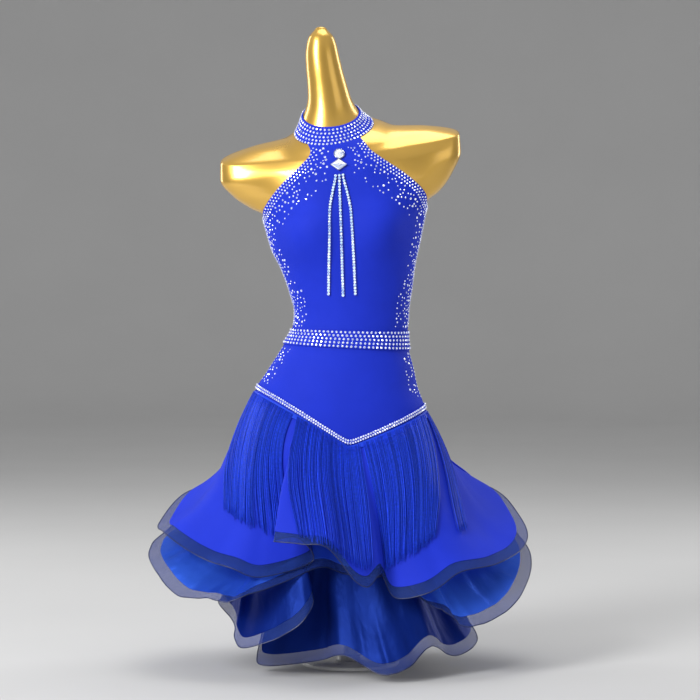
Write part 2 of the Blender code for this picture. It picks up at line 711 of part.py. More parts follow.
def strip_angle(position):
    """Angle of a position along the strip, evenly spaced round the hips."""
    cut = section_at(HIP_SIDE)
    turn = math.radians(position * 360 / FRINGE_PITCHES - 180)
    depth = (cut.front + cut.back) / 2
    return math.degrees(math.atan2(cut.half_width * math.sin(turn), depth * math.cos(turn)))


def strand_edges(left, right):
    """Root and tip angles of a strand's two edges, or nothing where no strand hangs."""
    for bunch in BUNCHES:
        span = bunch.root_end - bunch.root_start
        shares = [((angle - bunch.root_start) % 360) / span for angle in (left, right)]
        if max(shares) <= 1 and shares[0] < shares[1]:
            spread = bunch.tip_end - bunch.tip_start
            return [(bunch.root_start + span * share, bunch.tip_start + spread * share)
                    for share in shares]
    return None


def build_fringe(layer, collection):
    """Backing strip round the hips, with its strands of three sides."""
    falls = cloth_falls(layer)
    form = bmesh.new()

    def corner(angle, fall, lift):
        return form.verts.new(
            facet_point(layer, falls, place_at(layer.hem, angle), fall, lift))

    strip = []
    for k in range(FRINGE_PITCHES):
        left = strip_angle(k - FRINGE_SHARE / 2)
        right = strip_angle(k + FRINGE_SHARE / 2)
        middle = strip_angle(k)
        strip.append((
            corner(middle, FRINGE_STRIP[0], ON_PANEL),
            corner(middle, FRINGE_STRIP[0], ON_PANEL + FRINGE_WALL),
            corner(left, FRINGE_STRIP[1], ON_PANEL),
            corner(middle, FRINGE_STRIP[1], ON_PANEL + FRINGE_WALL),
            corner(right, FRINGE_STRIP[1], ON_PANEL),
        ))
        root = strip[-1][2:]
        edges = strand_edges(left, right)
        for points in strand_rings(layer, falls, edges) if edges else ():
            ring = [form.verts.new(point) for point in points]
            for a in range(3):
                b = (a + 1) % 3
                form.faces.new((root[a], root[b], ring[b], ring[a]))
            root = ring
        form.faces.new(root)
    for here, there in zip(strip, strip[1:] + strip[:1]):
        inner_top, outer_top, left, outer, right = here
        form.faces.new((outer, there[3], there[1], outer_top))
        form.faces.new((outer_top, there[1], there[0], inner_top))
        form.faces.new((left, right, inner_top))
        form.faces.new((right, there[2], there[0], inner_top))
        form.faces.new((right, outer, there[3], there[2]))
    add_object("fringe", mesh_from(form, "fringe"), "thread", collection)


# ---------------------------------------------------------------- jewelled trims
def build_chain(chain, collection):
    """Narrow strip of stones that follows the bodice front."""
    def grid(out):
        result = []
        for i in range(CHAIN_ROWS + 1):
            height = CHAIN_HEIGHTS[0] + (CHAIN_HEIGHTS[2] - CHAIN_HEIGHTS[0]) * i / CHAIN_ROWS
            middle = hermite(CHAIN_HEIGHTS[::-1], (chain.end, chain.bend, chain.top), height)
            edges = (middle - CHAIN_WIDTH / 2, middle + CHAIN_WIDTH / 2)
            result.append([body_point(angle_at(x, height), height, out) for x in edges])
        return result

    mesh = wall_mesh(chain.name, grid(ON_PANEL), grid(ON_PANEL + CHAIN_THICKNESS), closed=False)
    add_object(chain.name, mesh, "crystal", collection)


def build_stone(stone, collection):
    """Cut stone with a flat table, seated on the bodice front."""
    angle = angle_at(stone.x, stone.height)
    seat = body_point(angle, stone.height, STONE_SEAT)
    above = body_point(angle, stone.height + NUDGE / 2, STONE_SEAT) - seat
    across = Vector((1, 0, 0))
    out = across.cross(above).normalized()
    form = bmesh.new()
    bmesh.ops.create_cone(form, cap_ends=True, segments=stone.sides, radius1=0.5,
                          radius2=STONE_TABLE / 2, depth=1)
    size = Matrix.Diagonal((stone.across, stone.down, STONE_HEIGHT, 1))
    turn = Matrix((across, out.cross(across), out)).transposed().to_4x4()
    place = Matrix.Translation(seat + out * STONE_HEIGHT / 2)
    bmesh.ops.transform(form, matrix=place @ turn @ size, verts=form.verts)
    add_object(stone.name, mesh_from(form, stone.name), "crystal", collection)


def build_all():
    """Whole part: dress form on its stand, and the dress from the neck down."""
    for old in list(bpy.data.objects):
        bpy.data.objects.remove(old, do_unlink=True)
    collection = bpy.data.collections.new("salsa_dress_on_form")
    bpy.context.scene.collection.children.link(collection)
    build_form(collection)
    build_stand(collection)
    build_bodice_front(collection)
    build_bodice_back(collection)
    build_bands(collection)
    for layer in LAYERS:
        build_layer(layer, collection)
        build_braid(layer, collection)
    build_fringe(LAYERS[0], collection)
    for chain in CHAINS:
        build_chain(chain, collection)
    for stone in STONES:
        build_stone(stone, collection)


build_all()
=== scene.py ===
import math
import random
from collections import namedtuple

import bmesh
import bpy
import numpy as np
from mathutils import Matrix, Vector


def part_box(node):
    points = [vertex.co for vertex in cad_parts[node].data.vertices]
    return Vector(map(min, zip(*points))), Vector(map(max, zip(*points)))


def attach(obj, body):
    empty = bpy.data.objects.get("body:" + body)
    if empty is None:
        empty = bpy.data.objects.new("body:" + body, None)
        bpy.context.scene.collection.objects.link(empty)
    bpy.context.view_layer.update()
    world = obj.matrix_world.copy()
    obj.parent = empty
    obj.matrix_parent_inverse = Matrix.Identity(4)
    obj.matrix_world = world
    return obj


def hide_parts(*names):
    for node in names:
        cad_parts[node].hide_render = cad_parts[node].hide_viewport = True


bl_info = {
    "name": "Salsa Dance Dress",
    "version": (1, 0, 0),
    "blender": (4, 5, 0),
    "location": "View3D > Sidebar > Dance Dress",
    "description": "Salsa dance dress with a halter neck, fringe and flared layers, on a dress form",
    "category": "Add Mesh",
}

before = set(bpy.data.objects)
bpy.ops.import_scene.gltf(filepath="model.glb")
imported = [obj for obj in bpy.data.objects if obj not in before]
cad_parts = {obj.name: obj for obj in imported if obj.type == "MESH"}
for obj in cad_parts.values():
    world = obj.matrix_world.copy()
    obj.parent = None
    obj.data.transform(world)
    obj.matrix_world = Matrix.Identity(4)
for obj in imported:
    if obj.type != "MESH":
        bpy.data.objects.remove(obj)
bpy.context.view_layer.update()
BODY = "root"
POLE_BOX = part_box("stand_pole")
BASE_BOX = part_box("stand_base")

# ---------------------------------------------------------------- the dress's own sizes
CLOTH = 0.002              # outer face of each layer, off the fitted surface
FORM_INSET = 0.0048        # form's skin, in from the cloth's outer face
TRIM_WIDTH = 0.010
BELT = (0.578, 0.609)      # lower and upper edge, as section heights
NECKBAND = (0.9710, 0.9966)
BODICE_TOP = 0.9680
FORM_TOP = 1.148
FORM_BOTTOM = 0.330
HIP_SIDE = 0.484
HIP_FRONT_TIP = 0.410
HIP_BACK_TIP = 0.452
HIP_TIP_TURN = 10.0
HIP_TIP_SOFTNESS = 0.05
HIP_FLATNESS = 1.6         # keeps the arms of the V straight
SKIRT_DROP = 0.0030
BUST_ANGLE = 36.0
BUST_HEIGHT = 0.785
BUST_RISE = 0.020
BUST_SPREAD_ANGLE = 24.0
BUST_SPREAD_HEIGHT = 0.050
ARMHOLE_EASE = 0.0034
ARMHOLE_EASE_HEIGHT = 0.830
ARMHOLE_EASE_SPREAD = 0.030
BACK_NECK_DROP = 0.055
YOKE_TOP = 0.520
BRAID_WIDTH = 0.020
BELLY = 0.38               # how early a layer turns out towards its hem

Section = namedtuple("Section", "height shift half_width front back roll pitch reach arm")
SECTIONS = [Section(*row) for row in (
    (0.330, -0.008, 0.122, 0.078, 0.088, -0.12, 0.00, 0.04, 0.02),
    (0.390, -0.009, 0.146, 0.088, 0.103, -0.12, 0.00, 0.04, 0.02),
    (0.450, -0.009, 0.155, 0.092, 0.112, -0.12, 0.00, 0.04, 0.02),
    (0.485, -0.0075, 0.151, 0.090, 0.110, -0.12, 0.00, 0.04, 0.02),
    (0.520, -0.005, 0.1355, 0.085, 0.097, -0.10, 0.00, 0.04, 0.02),
    (0.550, 0.000, 0.1235, 0.080, 0.085, -0.08, 0.00, 0.04, 0.02),
    (0.578, 0.003, 0.1120, 0.076, 0.076, -0.05, 0.00, 0.04, 0.02),
    (0.609, 0.009, 0.1035, 0.073, 0.070, -0.02, 0.00, 0.04, 0.02),
    (0.640, 0.012, 0.1035, 0.074, 0.070, 0.00, 0.00, 0.04, 0.02),
    (0.680, 0.010, 0.111, 0.077, 0.074, 0.01, 0.00, 0.04, 0.02),
    (0.720, 0.0055, 0.1205, 0.082, 0.080, 0.02, 0.00, 0.04, 0.02),
    (0.760, 0.001, 0.134, 0.086, 0.086, 0.04, 0.00, 0.05, 0.03),
    (0.800, 0.000, 0.1425, 0.087, 0.091, 0.06, 0.00, 0.05, 0.04),
    (0.820, 0.000, 0.1450, 0.0865, 0.093, 0.075, 0.01, 0.105, 0.045),
    (0.830, 0.000, 0.1457, 0.0858, 0.0936, 0.082, 0.018, 0.138, 0.0475),
    (0.840, 0.000, 0.146, 0.085, 0.094, 0.09, 0.03, 0.165, 0.050),
    (0.870, -0.004, 0.146, 0.083, 0.094, 0.11, 0.08, 0.200, 0.055),
    (0.905, -0.008, 0.140, 0.080, 0.092, 0.12, 0.18, 0.220, 0.056),
    (0.935, -0.009, 0.126, 0.074, 0.086, 0.12, 0.32, 0.219, 0.048),
    (0.952, -0.010, 0.110, 0.069, 0.080, 0.12, 0.42, 0.165, 0.030),
    (0.962, -0.013, 0.092, 0.066, 0.072, 0.125, 0.47, 0.050, 0.012),
    (0.9665, -0.017, 0.080, 0.064, 0.066, 0.132, 0.49, 0.03, 0.01),
    (0.9690, -0.0193, 0.0743, 0.063, 0.062, 0.139, 0.50, 0.03, 0.01),
    (0.9966, -0.0252, 0.0540, 0.048, 0.050, 0.065, 0.58, 0.01, 0.01),
    (1.022, -0.0280, 0.0440, 0.041, 0.044, 0.04, 0.45, 0.01, 0.01),
    (1.050, -0.0324, 0.0400, 0.038, 0.041, 0.02, 0.30, 0.01, 0.01),
    (1.080, -0.0378, 0.0372, 0.036, 0.038, 0.00, 0.15, 0.01, 0.01),
    (1.108, -0.0414, 0.0340, 0.033, 0.034, 0.00, 0.05, 0.01, 0.01),
    (1.132, -0.0425, 0.0280, 0.027, 0.028, 0.00, 0.00, 0.01, 0.01),
    (1.148, -0.0430, 0.0150, 0.015, 0.015, 0.00, 0.00, 0.01, 0.01),
)]

Armhole = namedtuple("Armhole", "height half_span")
ARMHOLES = [Armhole(*row) for row in (
    (0.805, 0.1475),
    (0.835, 0.1445),
    (0.850, 0.1380),
    (0.870, 0.1235),
    (0.890, 0.1060),
    (0.910, 0.0870),
    (0.930, 0.0695),
    (0.950, 0.0545),
    (0.968, 0.0480),
)]

Hem = namedtuple("Hem", "hip x y z flare")
OUTER_HEM = [Hem(*row) for row in (
    (-165, -0.060, 0.250, 0.260, 50),
    (-146, -0.130, 0.180, 0.290, 35),
    (-129, -0.215, 0.212, 0.305, 55),
    (-112, -0.295, 0.150, 0.300, 68),
    (-97, -0.336, 0.030, 0.258, 76),
    (-84, -0.325, -0.055, 0.250, 70),
    (-73, -0.266, -0.120, 0.218, 58),
    (-63, -0.198, -0.160, 0.197, 45),
    (-59, -0.146, -0.164, 0.182, 34),
    (-50, -0.056, -0.142, 0.208, 22),
    (-42, -0.082, -0.158, 0.250, 14),
    (-37, -0.122, -0.191, 0.248, 18),
    (-27, -0.076, -0.214, 0.246, 32),
    (-14, -0.030, -0.225, 0.240, 32),
    (0, 0.014, -0.225, 0.186, 30),
    (9, 0.040, -0.214, 0.172, 26),
    (17, 0.060, -0.185, 0.190, 16),
    (24, 0.068, -0.160, 0.178, 12),
    (32, 0.090, -0.168, 0.146, 25),
    (44, 0.148, -0.182, 0.158, 40),
    (57, 0.200, -0.162, 0.190, 50),
    (71, 0.270, -0.115, 0.200, 63),
    (86, 0.325, -0.020, 0.225, 73),
    (101, 0.322, 0.070, 0.260, 73),
    (116, 0.270, 0.165, 0.308, 63),
    (131, 0.200, 0.210, 0.312, 50),
    (148, 0.130, 0.178, 0.290, 35),
    (165, 0.060, 0.250, 0.255, 50),
)]
FLOUNCE_HEM = [Hem(*row) for row in (
    (-165, -0.060, 0.262, 0.205, 45),
    (-146, -0.140, 0.200, 0.230, 35),
    (-129, -0.228, 0.222, 0.245, 55),
    (-112, -0.310, 0.150, 0.245, 70),
    (-97, -0.352, 0.020, 0.212, 78),
    (-84, -0.340, -0.075, 0.188, 74),
    (-73, -0.298, -0.132, 0.150, 65),
    (-63, -0.236, -0.168, 0.143, 76),
    (-56, -0.190, -0.186, 0.145, 68),
    (-45, -0.108, -0.160, 0.172, 38),
    (-34, -0.044, -0.138, 0.196, 14),
    (-11, 0.000, -0.114, 0.182, 0),
    (8, 0.055, -0.128, 0.178, 6),
    (30, 0.078, -0.132, 0.180, 32),
    (46, 0.150, -0.164, 0.132, 64),
    (55, 0.184, -0.157, 0.114, 42),
    (61, 0.214, -0.160, 0.094, 50),
    (71, 0.264, -0.135, 0.106, 58),
    (84, 0.312, -0.080, 0.138, 70),
    (97, 0.338, 0.015, 0.188, 74),
    (110, 0.320, 0.095, 0.225, 70),
    (122, 0.270, 0.178, 0.258, 60),
    (135, 0.202, 0.218, 0.252, 50),
    (150, 0.132, 0.190, 0.230, 38),
    (165, 0.060, 0.262, 0.200, 45),
)]
PETTICOAT_HEM = [Hem(*row) for row in (
    (-165, -0.050, 0.205, 0.070, 28),
    (-145, -0.115, 0.150, 0.095, 15),
    (-125, -0.195, 0.145, 0.085, 35),
    (-108, -0.215, 0.060, 0.110, 30),
    (-98, -0.226, -0.030, 0.118, 35),
    (-89, -0.196, -0.087, 0.090, 22),
    (-81, -0.179, -0.152, 0.056, 50),
    (-71, -0.090, -0.176, 0.092, 30),
    (-67, -0.056, -0.162, 0.136, 18),
    (-58, -0.075, -0.130, 0.160, 18),
    (-45, -0.133, -0.100, 0.100, 24),
    (-38, -0.157, -0.068, 0.032, 24),
    (-30, -0.141, -0.070, 0.012, 22),
    (-19, -0.055, -0.110, 0.026, 16),
    (-5, 0.000, -0.148, 0.042, 24),
    (13, 0.064, -0.180, 0.014, 28),
    (19, 0.112, -0.184, 0.028, 30),
    (36, 0.150, -0.144, 0.058, 16),
    (52, 0.196, -0.105, 0.035, 30),
    (68, 0.236, -0.050, 0.055, 38),
    (88, 0.215, 0.025, 0.095, 25),
    (108, 0.225, 0.095, 0.085, 35),
    (126, 0.170, 0.160, 0.100, 25),
    (146, 0.100, 0.160, 0.090, 15),
    (165, 0.050, 0.210, 0.065, 28),
)]

# Soft troughs (negative depth) and ridges of each layer: where across, in hem rows, and
# from which fall to which; width in hem rows; how far the fold drifts on its way down.
Crease = namedtuple("Crease", "place start end width depth drift")
OUTER_CREASES = [Crease(*row) for row in (
    (1.3, 0.10, 1.25, 0.40, -0.0030, 0.2),
    (2.7, 0.22, 1.40, 0.30, 0.0024, -0.2),
    (3.6, 0.05, 0.80, 0.35, -0.0026, 0.3),
    (4.5, 0.30, 1.50, 0.28, -0.0034, 0.2),
    (5.4, 0.12, 0.95, 0.32, 0.0022, -0.1),
    (6.4, 0.38, 1.45, 0.30, -0.0030, 0.1),
    (7.5, 0.08, 0.75, 0.40, -0.0020, 0.2),
    (10.6, 0.20, 0.90, 0.40, 0.0016, 0.1),
    (12.2, 0.40, 1.40, 0.45, -0.0022, 0.0),
    (13.5, 0.25, 1.20, 0.35, 0.0018, 0.2),
    (15.2, 0.35, 1.35, 0.45, -0.0020, 0.1),
    (18.6, 0.15, 0.90, 0.40, 0.0020, 0.1),
    (19.6, 0.42, 1.50, 0.30, -0.0030, -0.1),
    (20.5, 0.10, 1.10, 0.35, 0.0024, 0.2),
    (21.6, 0.28, 1.40, 0.30, -0.0032, 0.1),
    (22.6, 0.06, 0.85, 0.32, -0.0022, -0.2),
    (23.5, 0.34, 1.50, 0.30, 0.0028, 0.1),
    (24.7, 0.12, 1.00, 0.35, -0.0030, 0.2),
    (26.0, 0.20, 1.30, 0.30, 0.0022, -0.1),
    (27.2, 0.30, 1.45, 0.35, -0.0028, 0.1),
)]
FLOUNCE_CREASES = [Crease(*row) for row in (
    (0.6, 0.42, 1.40, 0.24, 0.0030, 0.1),
    (1.5, 0.30, 1.10, 0.20, -0.0034, -0.2),
    (2.4, 0.50, 1.45, 0.22, 0.0028, 0.2),
    (3.3, 0.36, 1.30, 0.18, -0.0036, 0.1),
    (3.9, 0.55, 1.50, 0.16, 0.0024, -0.1),
    (4.7, 0.40, 1.20, 0.20, -0.0030, 0.2),
    (5.3, 0.60, 1.50, 0.15, 0.0026, 0.1),
    (6.2, 0.44, 1.35, 0.22, -0.0038, -0.1),
    (6.9, 0.58, 1.60, 0.17, 0.0030, 0.1),
    (7.6, 0.50, 1.40, 0.18, -0.0028, 0.2),
    (8.4, 0.62, 1.55, 0.20, 0.0034, -0.2),
    (9.6, 0.46, 1.30, 0.26, -0.0024, 0.1),
    (11.2, 0.52, 1.45, 0.24, 0.0026, 0.1),
    (12.6, 0.40, 1.20, 0.22, -0.0026, -0.1),
    (14.3, 0.56, 1.50, 0.20, 0.0030, 0.2),
    (15.5, 0.48, 1.35, 0.18, -0.0032, 0.1),
    (16.4, 0.60, 1.60, 0.16, 0.0026, -0.1),
    (17.3, 0.42, 1.25, 0.20, -0.0034, 0.2),
    (18.2, 0.55, 1.50, 0.18, 0.0030, 0.1),
    (19.1, 0.38, 1.30, 0.22, -0.0030, -0.2),
    (20.3, 0.50, 1.45, 0.18, 0.0028, 0.1),
    (21.4, 0.34, 1.15, 0.24, -0.0034, 0.1),
    (22.5, 0.52, 1.50, 0.20, 0.0028, 0.2),
    (23.7, 0.44, 1.30, 0.22, -0.0030, -0.1),
)]
PETTICOAT_CREASES = [Crease(*row) for row in (
    (0.5, 0.40, 1.35, 0.22, -0.0030, 0.1),
    (1.4, 0.52, 1.50, 0.18, 0.0026, 0.2),
    (2.3, 0.34, 1.20, 0.24, -0.0034, -0.1),
    (3.4, 0.50, 1.45, 0.18, 0.0028, 0.1),
    (4.5, 0.42, 1.25, 0.20, -0.0030, 0.2),
    (5.5, 0.56, 1.50, 0.18, 0.0030, -0.1),
    (6.6, 0.62, 1.55, 0.16, -0.0026, 0.1),
    (7.5, 0.70, 1.60, 0.15, 0.0020, 0.1),
    (10.3, 0.66, 1.50, 0.16, -0.0020, 0.1),
    (12.4, 0.55, 1.45, 0.20, 0.0028, -0.1),
    (13.3, 0.40, 1.30, 0.16, -0.0034, 0.1),
    (13.8, 0.60, 1.60, 0.14, 0.0030, 0.2),
    (14.6, 0.46, 1.40, 0.18, -0.0032, -0.1),
    (15.3, 0.58, 1.50, 0.15, 0.0032, 0.1),
    (16.2, 0.42, 1.25, 0.18, -0.0036, 0.2),
    (16.9, 0.54, 1.55, 0.15, 0.0028, 0.1),
    (17.7, 0.44, 1.30, 0.18, -0.0034, -0.1),
    (18.5, 0.56, 1.50, 0.16, 0.0030, 0.1),
    (19.6, 0.38, 1.30, 0.22, -0.0028, 0.1),
    (20.7, 0.50, 1.45, 0.18, 0.0026, 0.2),
    (21.8, 0.36, 1.20, 0.22, -0.0030, -0.1),
    (22.8, 0.52, 1.50, 0.18, 0.0030, 0.1),
    (23.9, 0.44, 1.35, 0.20, -0.0028, 0.1),
)]

# Soft pulls in the fitted cloth: where they lie, half their length and width, how deep
# they go and how far they slope up to the right, in degrees.
Pull = namedtuple("Pull", "angle height length width depth slope")
WAIST_RADIUS = 0.115
BODICE_CREASES = [Pull(*row) for row in (
    (-66, 0.640, 0.030, 0.0045, -0.0008, 16),
    (-74, 0.662, 0.024, 0.0040, 0.0006, 26),
    (-58, 0.690, 0.036, 0.0050, -0.0006, 34),
    (-80, 0.548, 0.026, 0.0045, -0.0008, -14),
    (-64, 0.532, 0.034, 0.0050, 0.0006, -24),
    (-40, 0.510, 0.040, 0.0060, -0.0005, -38),
    (48, 0.640, 0.034, 0.0045, -0.0007, -12),
    (68, 0.656, 0.028, 0.0042, 0.0006, -22),
    (76, 0.682, 0.030, 0.0048, -0.0007, -32),
    (80, 0.545, 0.030, 0.0045, -0.0008, 16),
    (60, 0.528, 0.036, 0.0052, 0.0006, 26),
    (34, 0.500, 0.040, 0.0060, -0.0005, 40),
    (-20, 0.735, 0.040, 0.0065, -0.0006, 50),
    (22, 0.738, 0.038, 0.0065, -0.0006, -50),
    (-78, 0.800, 0.022, 0.0042, -0.0007, 40),
    (79, 0.796, 0.022, 0.0042, -0.0007, -40),
    (120, 0.655, 0.036, 0.0050, -0.0009, 14),
    (152, 0.672, 0.044, 0.0055, 0.0007, 8),
    (206, 0.650, 0.042, 0.0052, -0.0008, -10),
    (238, 0.668, 0.034, 0.0048, 0.0007, -18),
    (128, 0.535, 0.040, 0.0055, -0.0008, -20),
    (236, 0.540, 0.038, 0.0055, -0.0008, 22),
    (180, 0.560, 0.030, 0.0060, -0.0006, 0),
)]

Layer = namedtuple("Layer", "name hem drop lift spring pull creases flat area")
LAYERS = (
    Layer("skirt_outer", OUTER_HEM, 0.0000, 0.0000, 30, 0.42, OUTER_CREASES, (0.75, 0.75), 0.325),
    Layer("skirt_flounce", FLOUNCE_HEM, 0.0340, -0.0020, 22, 0.42, FLOUNCE_CREASES,
          (0.83, 0.71), 0.328),
    Layer("skirt_petticoat", PETTICOAT_HEM, 0.0540, -0.0020, 8, 0.30, PETTICOAT_CREASES,
          (0.98, 0.63), 0.355),
)

# Bunches of fringe: angles of the first and last strand at the hips, and of the skirt's
# own cloth where their tips lie.
Bunch = namedtuple("Bunch", "root_start root_end tip_start tip_end")
BUNCHES = [Bunch(*row) for row in (
    (-93, -47, -64, -56),
    (-44, 22, -28, 12),
    (24.5, 81, 25.5, 47),
    (83, 93, 60, 64),
    (108, 252, 122, 238),
)]

Chain = namedtuple("Chain", "name top bend end")
CHAIN_HEIGHTS = (0.892, 0.815, 0.668)
CHAINS = [Chain(*row) for row in (
    ("chain_left", -0.0165, -0.0275, -0.0285),
    ("chain_middle", -0.0100, -0.0080, -0.0030),
    ("chain_right", -0.0035, 0.0110, 0.0185),
)]

# Loose stones along an edge: how many, how far in they thin out and how far in they
# reach at most.
Scatter = namedtuple("Scatter", "count spread reach")

FRONT_TOP = 0.9702         # front panel's top edge, tucked behind the neckband
EDGE_TURN = 0.0020         # how far a cut edge turns in to the form, and over what width
EDGE_REACH = 0.0035
FORM_ROUNDING = 0.012      # rounding of the form's lower edge
FORM_CROWN = 0.004         # rise of the neck's domed top
BRAID_LAP = 0.004          # how far the braid runs up behind the cloth
BRAID_WALL = 0.0006
BRAID_EDGE = 0.0018        # twisted edge of the braid
FRINGE_ROOT = 0.012        # where strands leave their heading, as a fall of the skirt
FRINGE_HEADING = 0.034
STRAND_RINGS = 14
STRAND_RADIUS = 0.00072
STRAND_TAPER = 0.35        # how much thinner a strand's tip is
STRAND_CORNERS = (0.5, 2.6, 4.7)       # turns of its three sides
STRAND_LAYERS = ((0.0016, 0.0), (0.0030, 0.5))   # lift, and shift in strand pitches
PANEL_COLUMNS = 121        # fineness of the meshes
YOKE_ROWS = 25
FORM_COLUMNS = 208
LAYER_ROWS = 72
PER_ROW = 12               # columns of a layer, and of its braid's edge, for each hem row
EDGE_PER_ROW = 16
PANEL_LIFT = 0.0002        # panels' lower edge, above the hip line
ARMHOLE_RADIUS = 0.13      # turns armhole angles into lengths
# Large stones: outline, width, height, place, claws, and the steps of their cut.
Pendant = namedtuple("Pendant", "name sides across down x height node claws")
PENDANTS = [Pendant(*row) for row in (
    ("round_pendant", 16, 0.0184, 0.0184, -0.0100, 0.9490, "pendant_round", 6),
    ("square_pendant", 4, 0.0290, 0.0215, -0.0108, 0.9215, "pendant_square", 4),
)]
PENDANT_RISE = 0.0058      # height of stone and setting over their seat
PENDANT_SPOT = (-0.0100, 0.9350)       # between the two, kept clear of loose stones
PENDANT_CLEAR = 0.022
CLAW_SIZE = (0.0009, 0.0042)     # radius and height
CUP_SIZE = (0.0027, 0.0018)
CHAIN_STONE = (0.0024, 0.0022)
LINK_RADIUS = 0.0007
STONE_RISE = 0.95          # height of a small stone, against its radius
POLE_STEPS = ((0.0, 1.9), (0.004, 1.0), (0.0, 0.75), (0.006, 0.9))   # flange under the form
FLANGE_RISE = sum(rise for rise, _ in POLE_STEPS)
BASE_LIP = 0.0025          # drawn-in upper edge of the base
BOSS_INSET = 0.055
BOSS_RISE = 0.010
FULL_TURN = 6.2832
PENDANT_STEPS = ((0.18, 0.86), (0.22, 0.72), (0.16, 0.55), (0.06, 0.40))
CHAIN_PITCH = 0.0052
CHAIN_TUCK = 0.007         # how far the chains run up behind the square stone
LOOSE_GAP = 0.0052         # scattered stones keep this distance from each other

NECKBAND_STRIP = (0.38, 0.030)   # flat sizes of the straight strips
BELT_STRIP = (0.59, 0.031)
TRIM_STRIP = (0.86, 0.010)

# Bands of cloth: lower and upper edge (none: the hip seam, and the trim's width above it),
# inner face off the fitted surface, wall, lines of stones as shares of the width, their
# seat and pitch, and the flat strip.
Band = namedtuple("Band", "name node low high inset wall lines stones_at pitch size strip "
                          "rests_on columns")
BODICE_CLOTH = ["bodice_front_cloth", "bodice_back_cloth"]
BANDS = {
    "neckband": Band("neckband", "neckband", NECKBAND[0] - 0.0012, NECKBAND[1], -0.0036,
                     0.0024, (0.10, 0.30, 0.50, 0.70, 0.90), -0.0014, 0.0073, "neck_stone",
                     NECKBAND_STRIP, ["torso_form"], 288),
    "belt": Band("belt", "waist_belt", *BELT, 0.0009, 0.0024,
                 (0.09, 0.295, 0.5, 0.705, 0.91), 0.0031, 0.0080, "belt_stone", BELT_STRIP,
                 BODICE_CLOTH, 288),
    "hip_trim": Band("hip_trim", "hip_trim", None, None, 0.0009, 0.0018, (0.25, 0.75),
                     0.0026, 0.0048, "trim_stone", TRIM_STRIP, BODICE_CLOTH, 432),
}

# Edges with stones, on each side: heights, samples, share of the armhole's angle or fixed
# angles of the rows and the loose stones, how far in each row lies, pitch, and scatter.
Edge = namedtuple("Edge", "low high samples share row_angle loose_angle insets pitch scatter")
STONE_EDGES = (
    Edge(0.806, 0.966, 200, 1.0, None, None, (0.0030, 0.0084, 0.0138), 0.0064,
         Scatter(300, 0.015, 0.055)),
    Edge(BELT[1] + 0.005, 0.806, 160, 1.0, 89.0, 89.0, (0.0025, 0.0082, 0.0139), 0.0066,
         Scatter(230, 0.013, 0.045)),
    Edge(BELT[1] + 0.004, BELT[1] + 0.070, 60, 1.0, 86.0, 86.0, (), 0.0,
         Scatter(90, 0.020, 0.050)),
    Edge(0.502, BELT[0] - 0.004, 60, 1.0, 88.0, 86.0, (0.0030,), 0.0066,
         Scatter(60, 0.012, 0.035)),
    Edge(0.930, 0.964, 60, 0.8, None, None, (), 0.0, Scatter(60, 0.012, 0.030)),
)

BACK_INSETS = (0.0032, 0.0080)         # rows and loose stones of the back's top edge
BACK_PITCH = 0.0058
BACK_SCATTER = Scatter(220, 0.014, 0.045)

# Studio: camera, floor dish, and soft lights with their power, size, place and aim.
SENSOR_WIDTH = 36
LENS = 36 * 2500 / 700
CAMERA_PLACE = (0.009, -4.5, 0.74)
CAMERA_AIM = (0.009, 0, 0.572)
FLOOR_RADIUS = 7.0
FLOOR_CURVE = 2.5
WALL_HEIGHT = 6.0
FLOOR_DROP = 0.0002
AIR_STRENGTH = 0.42
Light = namedtuple("Light", "name power size place aim")
LIGHTS = [Light(*row) for row in (
    ("key_light", 150, (1.4, 2.0), (-2.6, -2.8, 2.5), (0, 0, 0.6)),
    ("fill_light", 14, (2.2, 2.2), (2.9, -2.6, 1.5), (0, 0, 0.5)),
    ("top_light", 30, (1.8, 1.8), (0.2, 0.3, 3.4), (0, 0, 0.6)),
    ("left_edge_light", 26, (0.8, 2.4), (-2.6, 1.8, 1.6), (0, 0, 0.6)),
    ("right_edge_light", 26, (0.8, 2.4), (2.6, 1.8, 1.6), (0, 0, 0.6)),
)]


# ---------------------------------------------------------------- curves through tables
UP = np.array((0.0, 0.0, 1.0))
SLOPE_STEP = 0.02          # step for slopes, in hem rows or falls
ANGLE_STEP = 0.4           # step for slopes on the fitted surface, in degrees
HEIGHT_STEP = 0.0008       # and in metres of section height


def column(table, name):
    return np.array([getattr(row, name) for row in table], float)


def hermite(keys, values, key):
    """Smooth values at keys, with slopes that follow uneven spacing and never overshoot."""
    keys = np.asarray(keys, float)
    values = np.asarray(values, float)
    chords = np.diff(values) / np.diff(keys)
    both = chords[:-1] * chords[1:]
    total = np.where(both > 0, chords[:-1] + chords[1:], 1)
    inner = np.where(both > 0, 2 * both / total, 0)
    slopes = np.concatenate((chords[:1], inner, chords[-1:]))
    key = np.clip(key, keys[0], keys[-1])
    i = np.clip(np.searchsorted(keys, key, side="right") - 1, 0, len(keys) - 2)
    span = keys[i + 1] - keys[i]
    t = (key - keys[i]) / span
    return (
        values[i] * (1 + 2 * t) * (1 - t) ** 2
        + slopes[i] * span * t * (1 - t) ** 2
        + values[i + 1] * t * t * (3 - 2 * t)
        + slopes[i + 1] * span * t * t * (t - 1)
    )


def unit(vectors):
    return vectors / np.maximum(np.linalg.norm(vectors, axis=-1, keepdims=True), 1e-12)


def smooth_step(low, high, value):
    t = np.clip((value - low) / (high - low), 0, 1)
    return t * t * (3 - 2 * t)


def path_lengths(points):
    """Distance of each point of a path from its first one."""
    steps = np.linalg.norm(np.diff(points, axis=0), axis=1)
    return np.concatenate(([0.0], np.cumsum(steps)))


# ---------------------------------------------------------------- the fitted surface
SECTION_COLUMNS = {name: column(SECTIONS, name) for name in Section._fields}


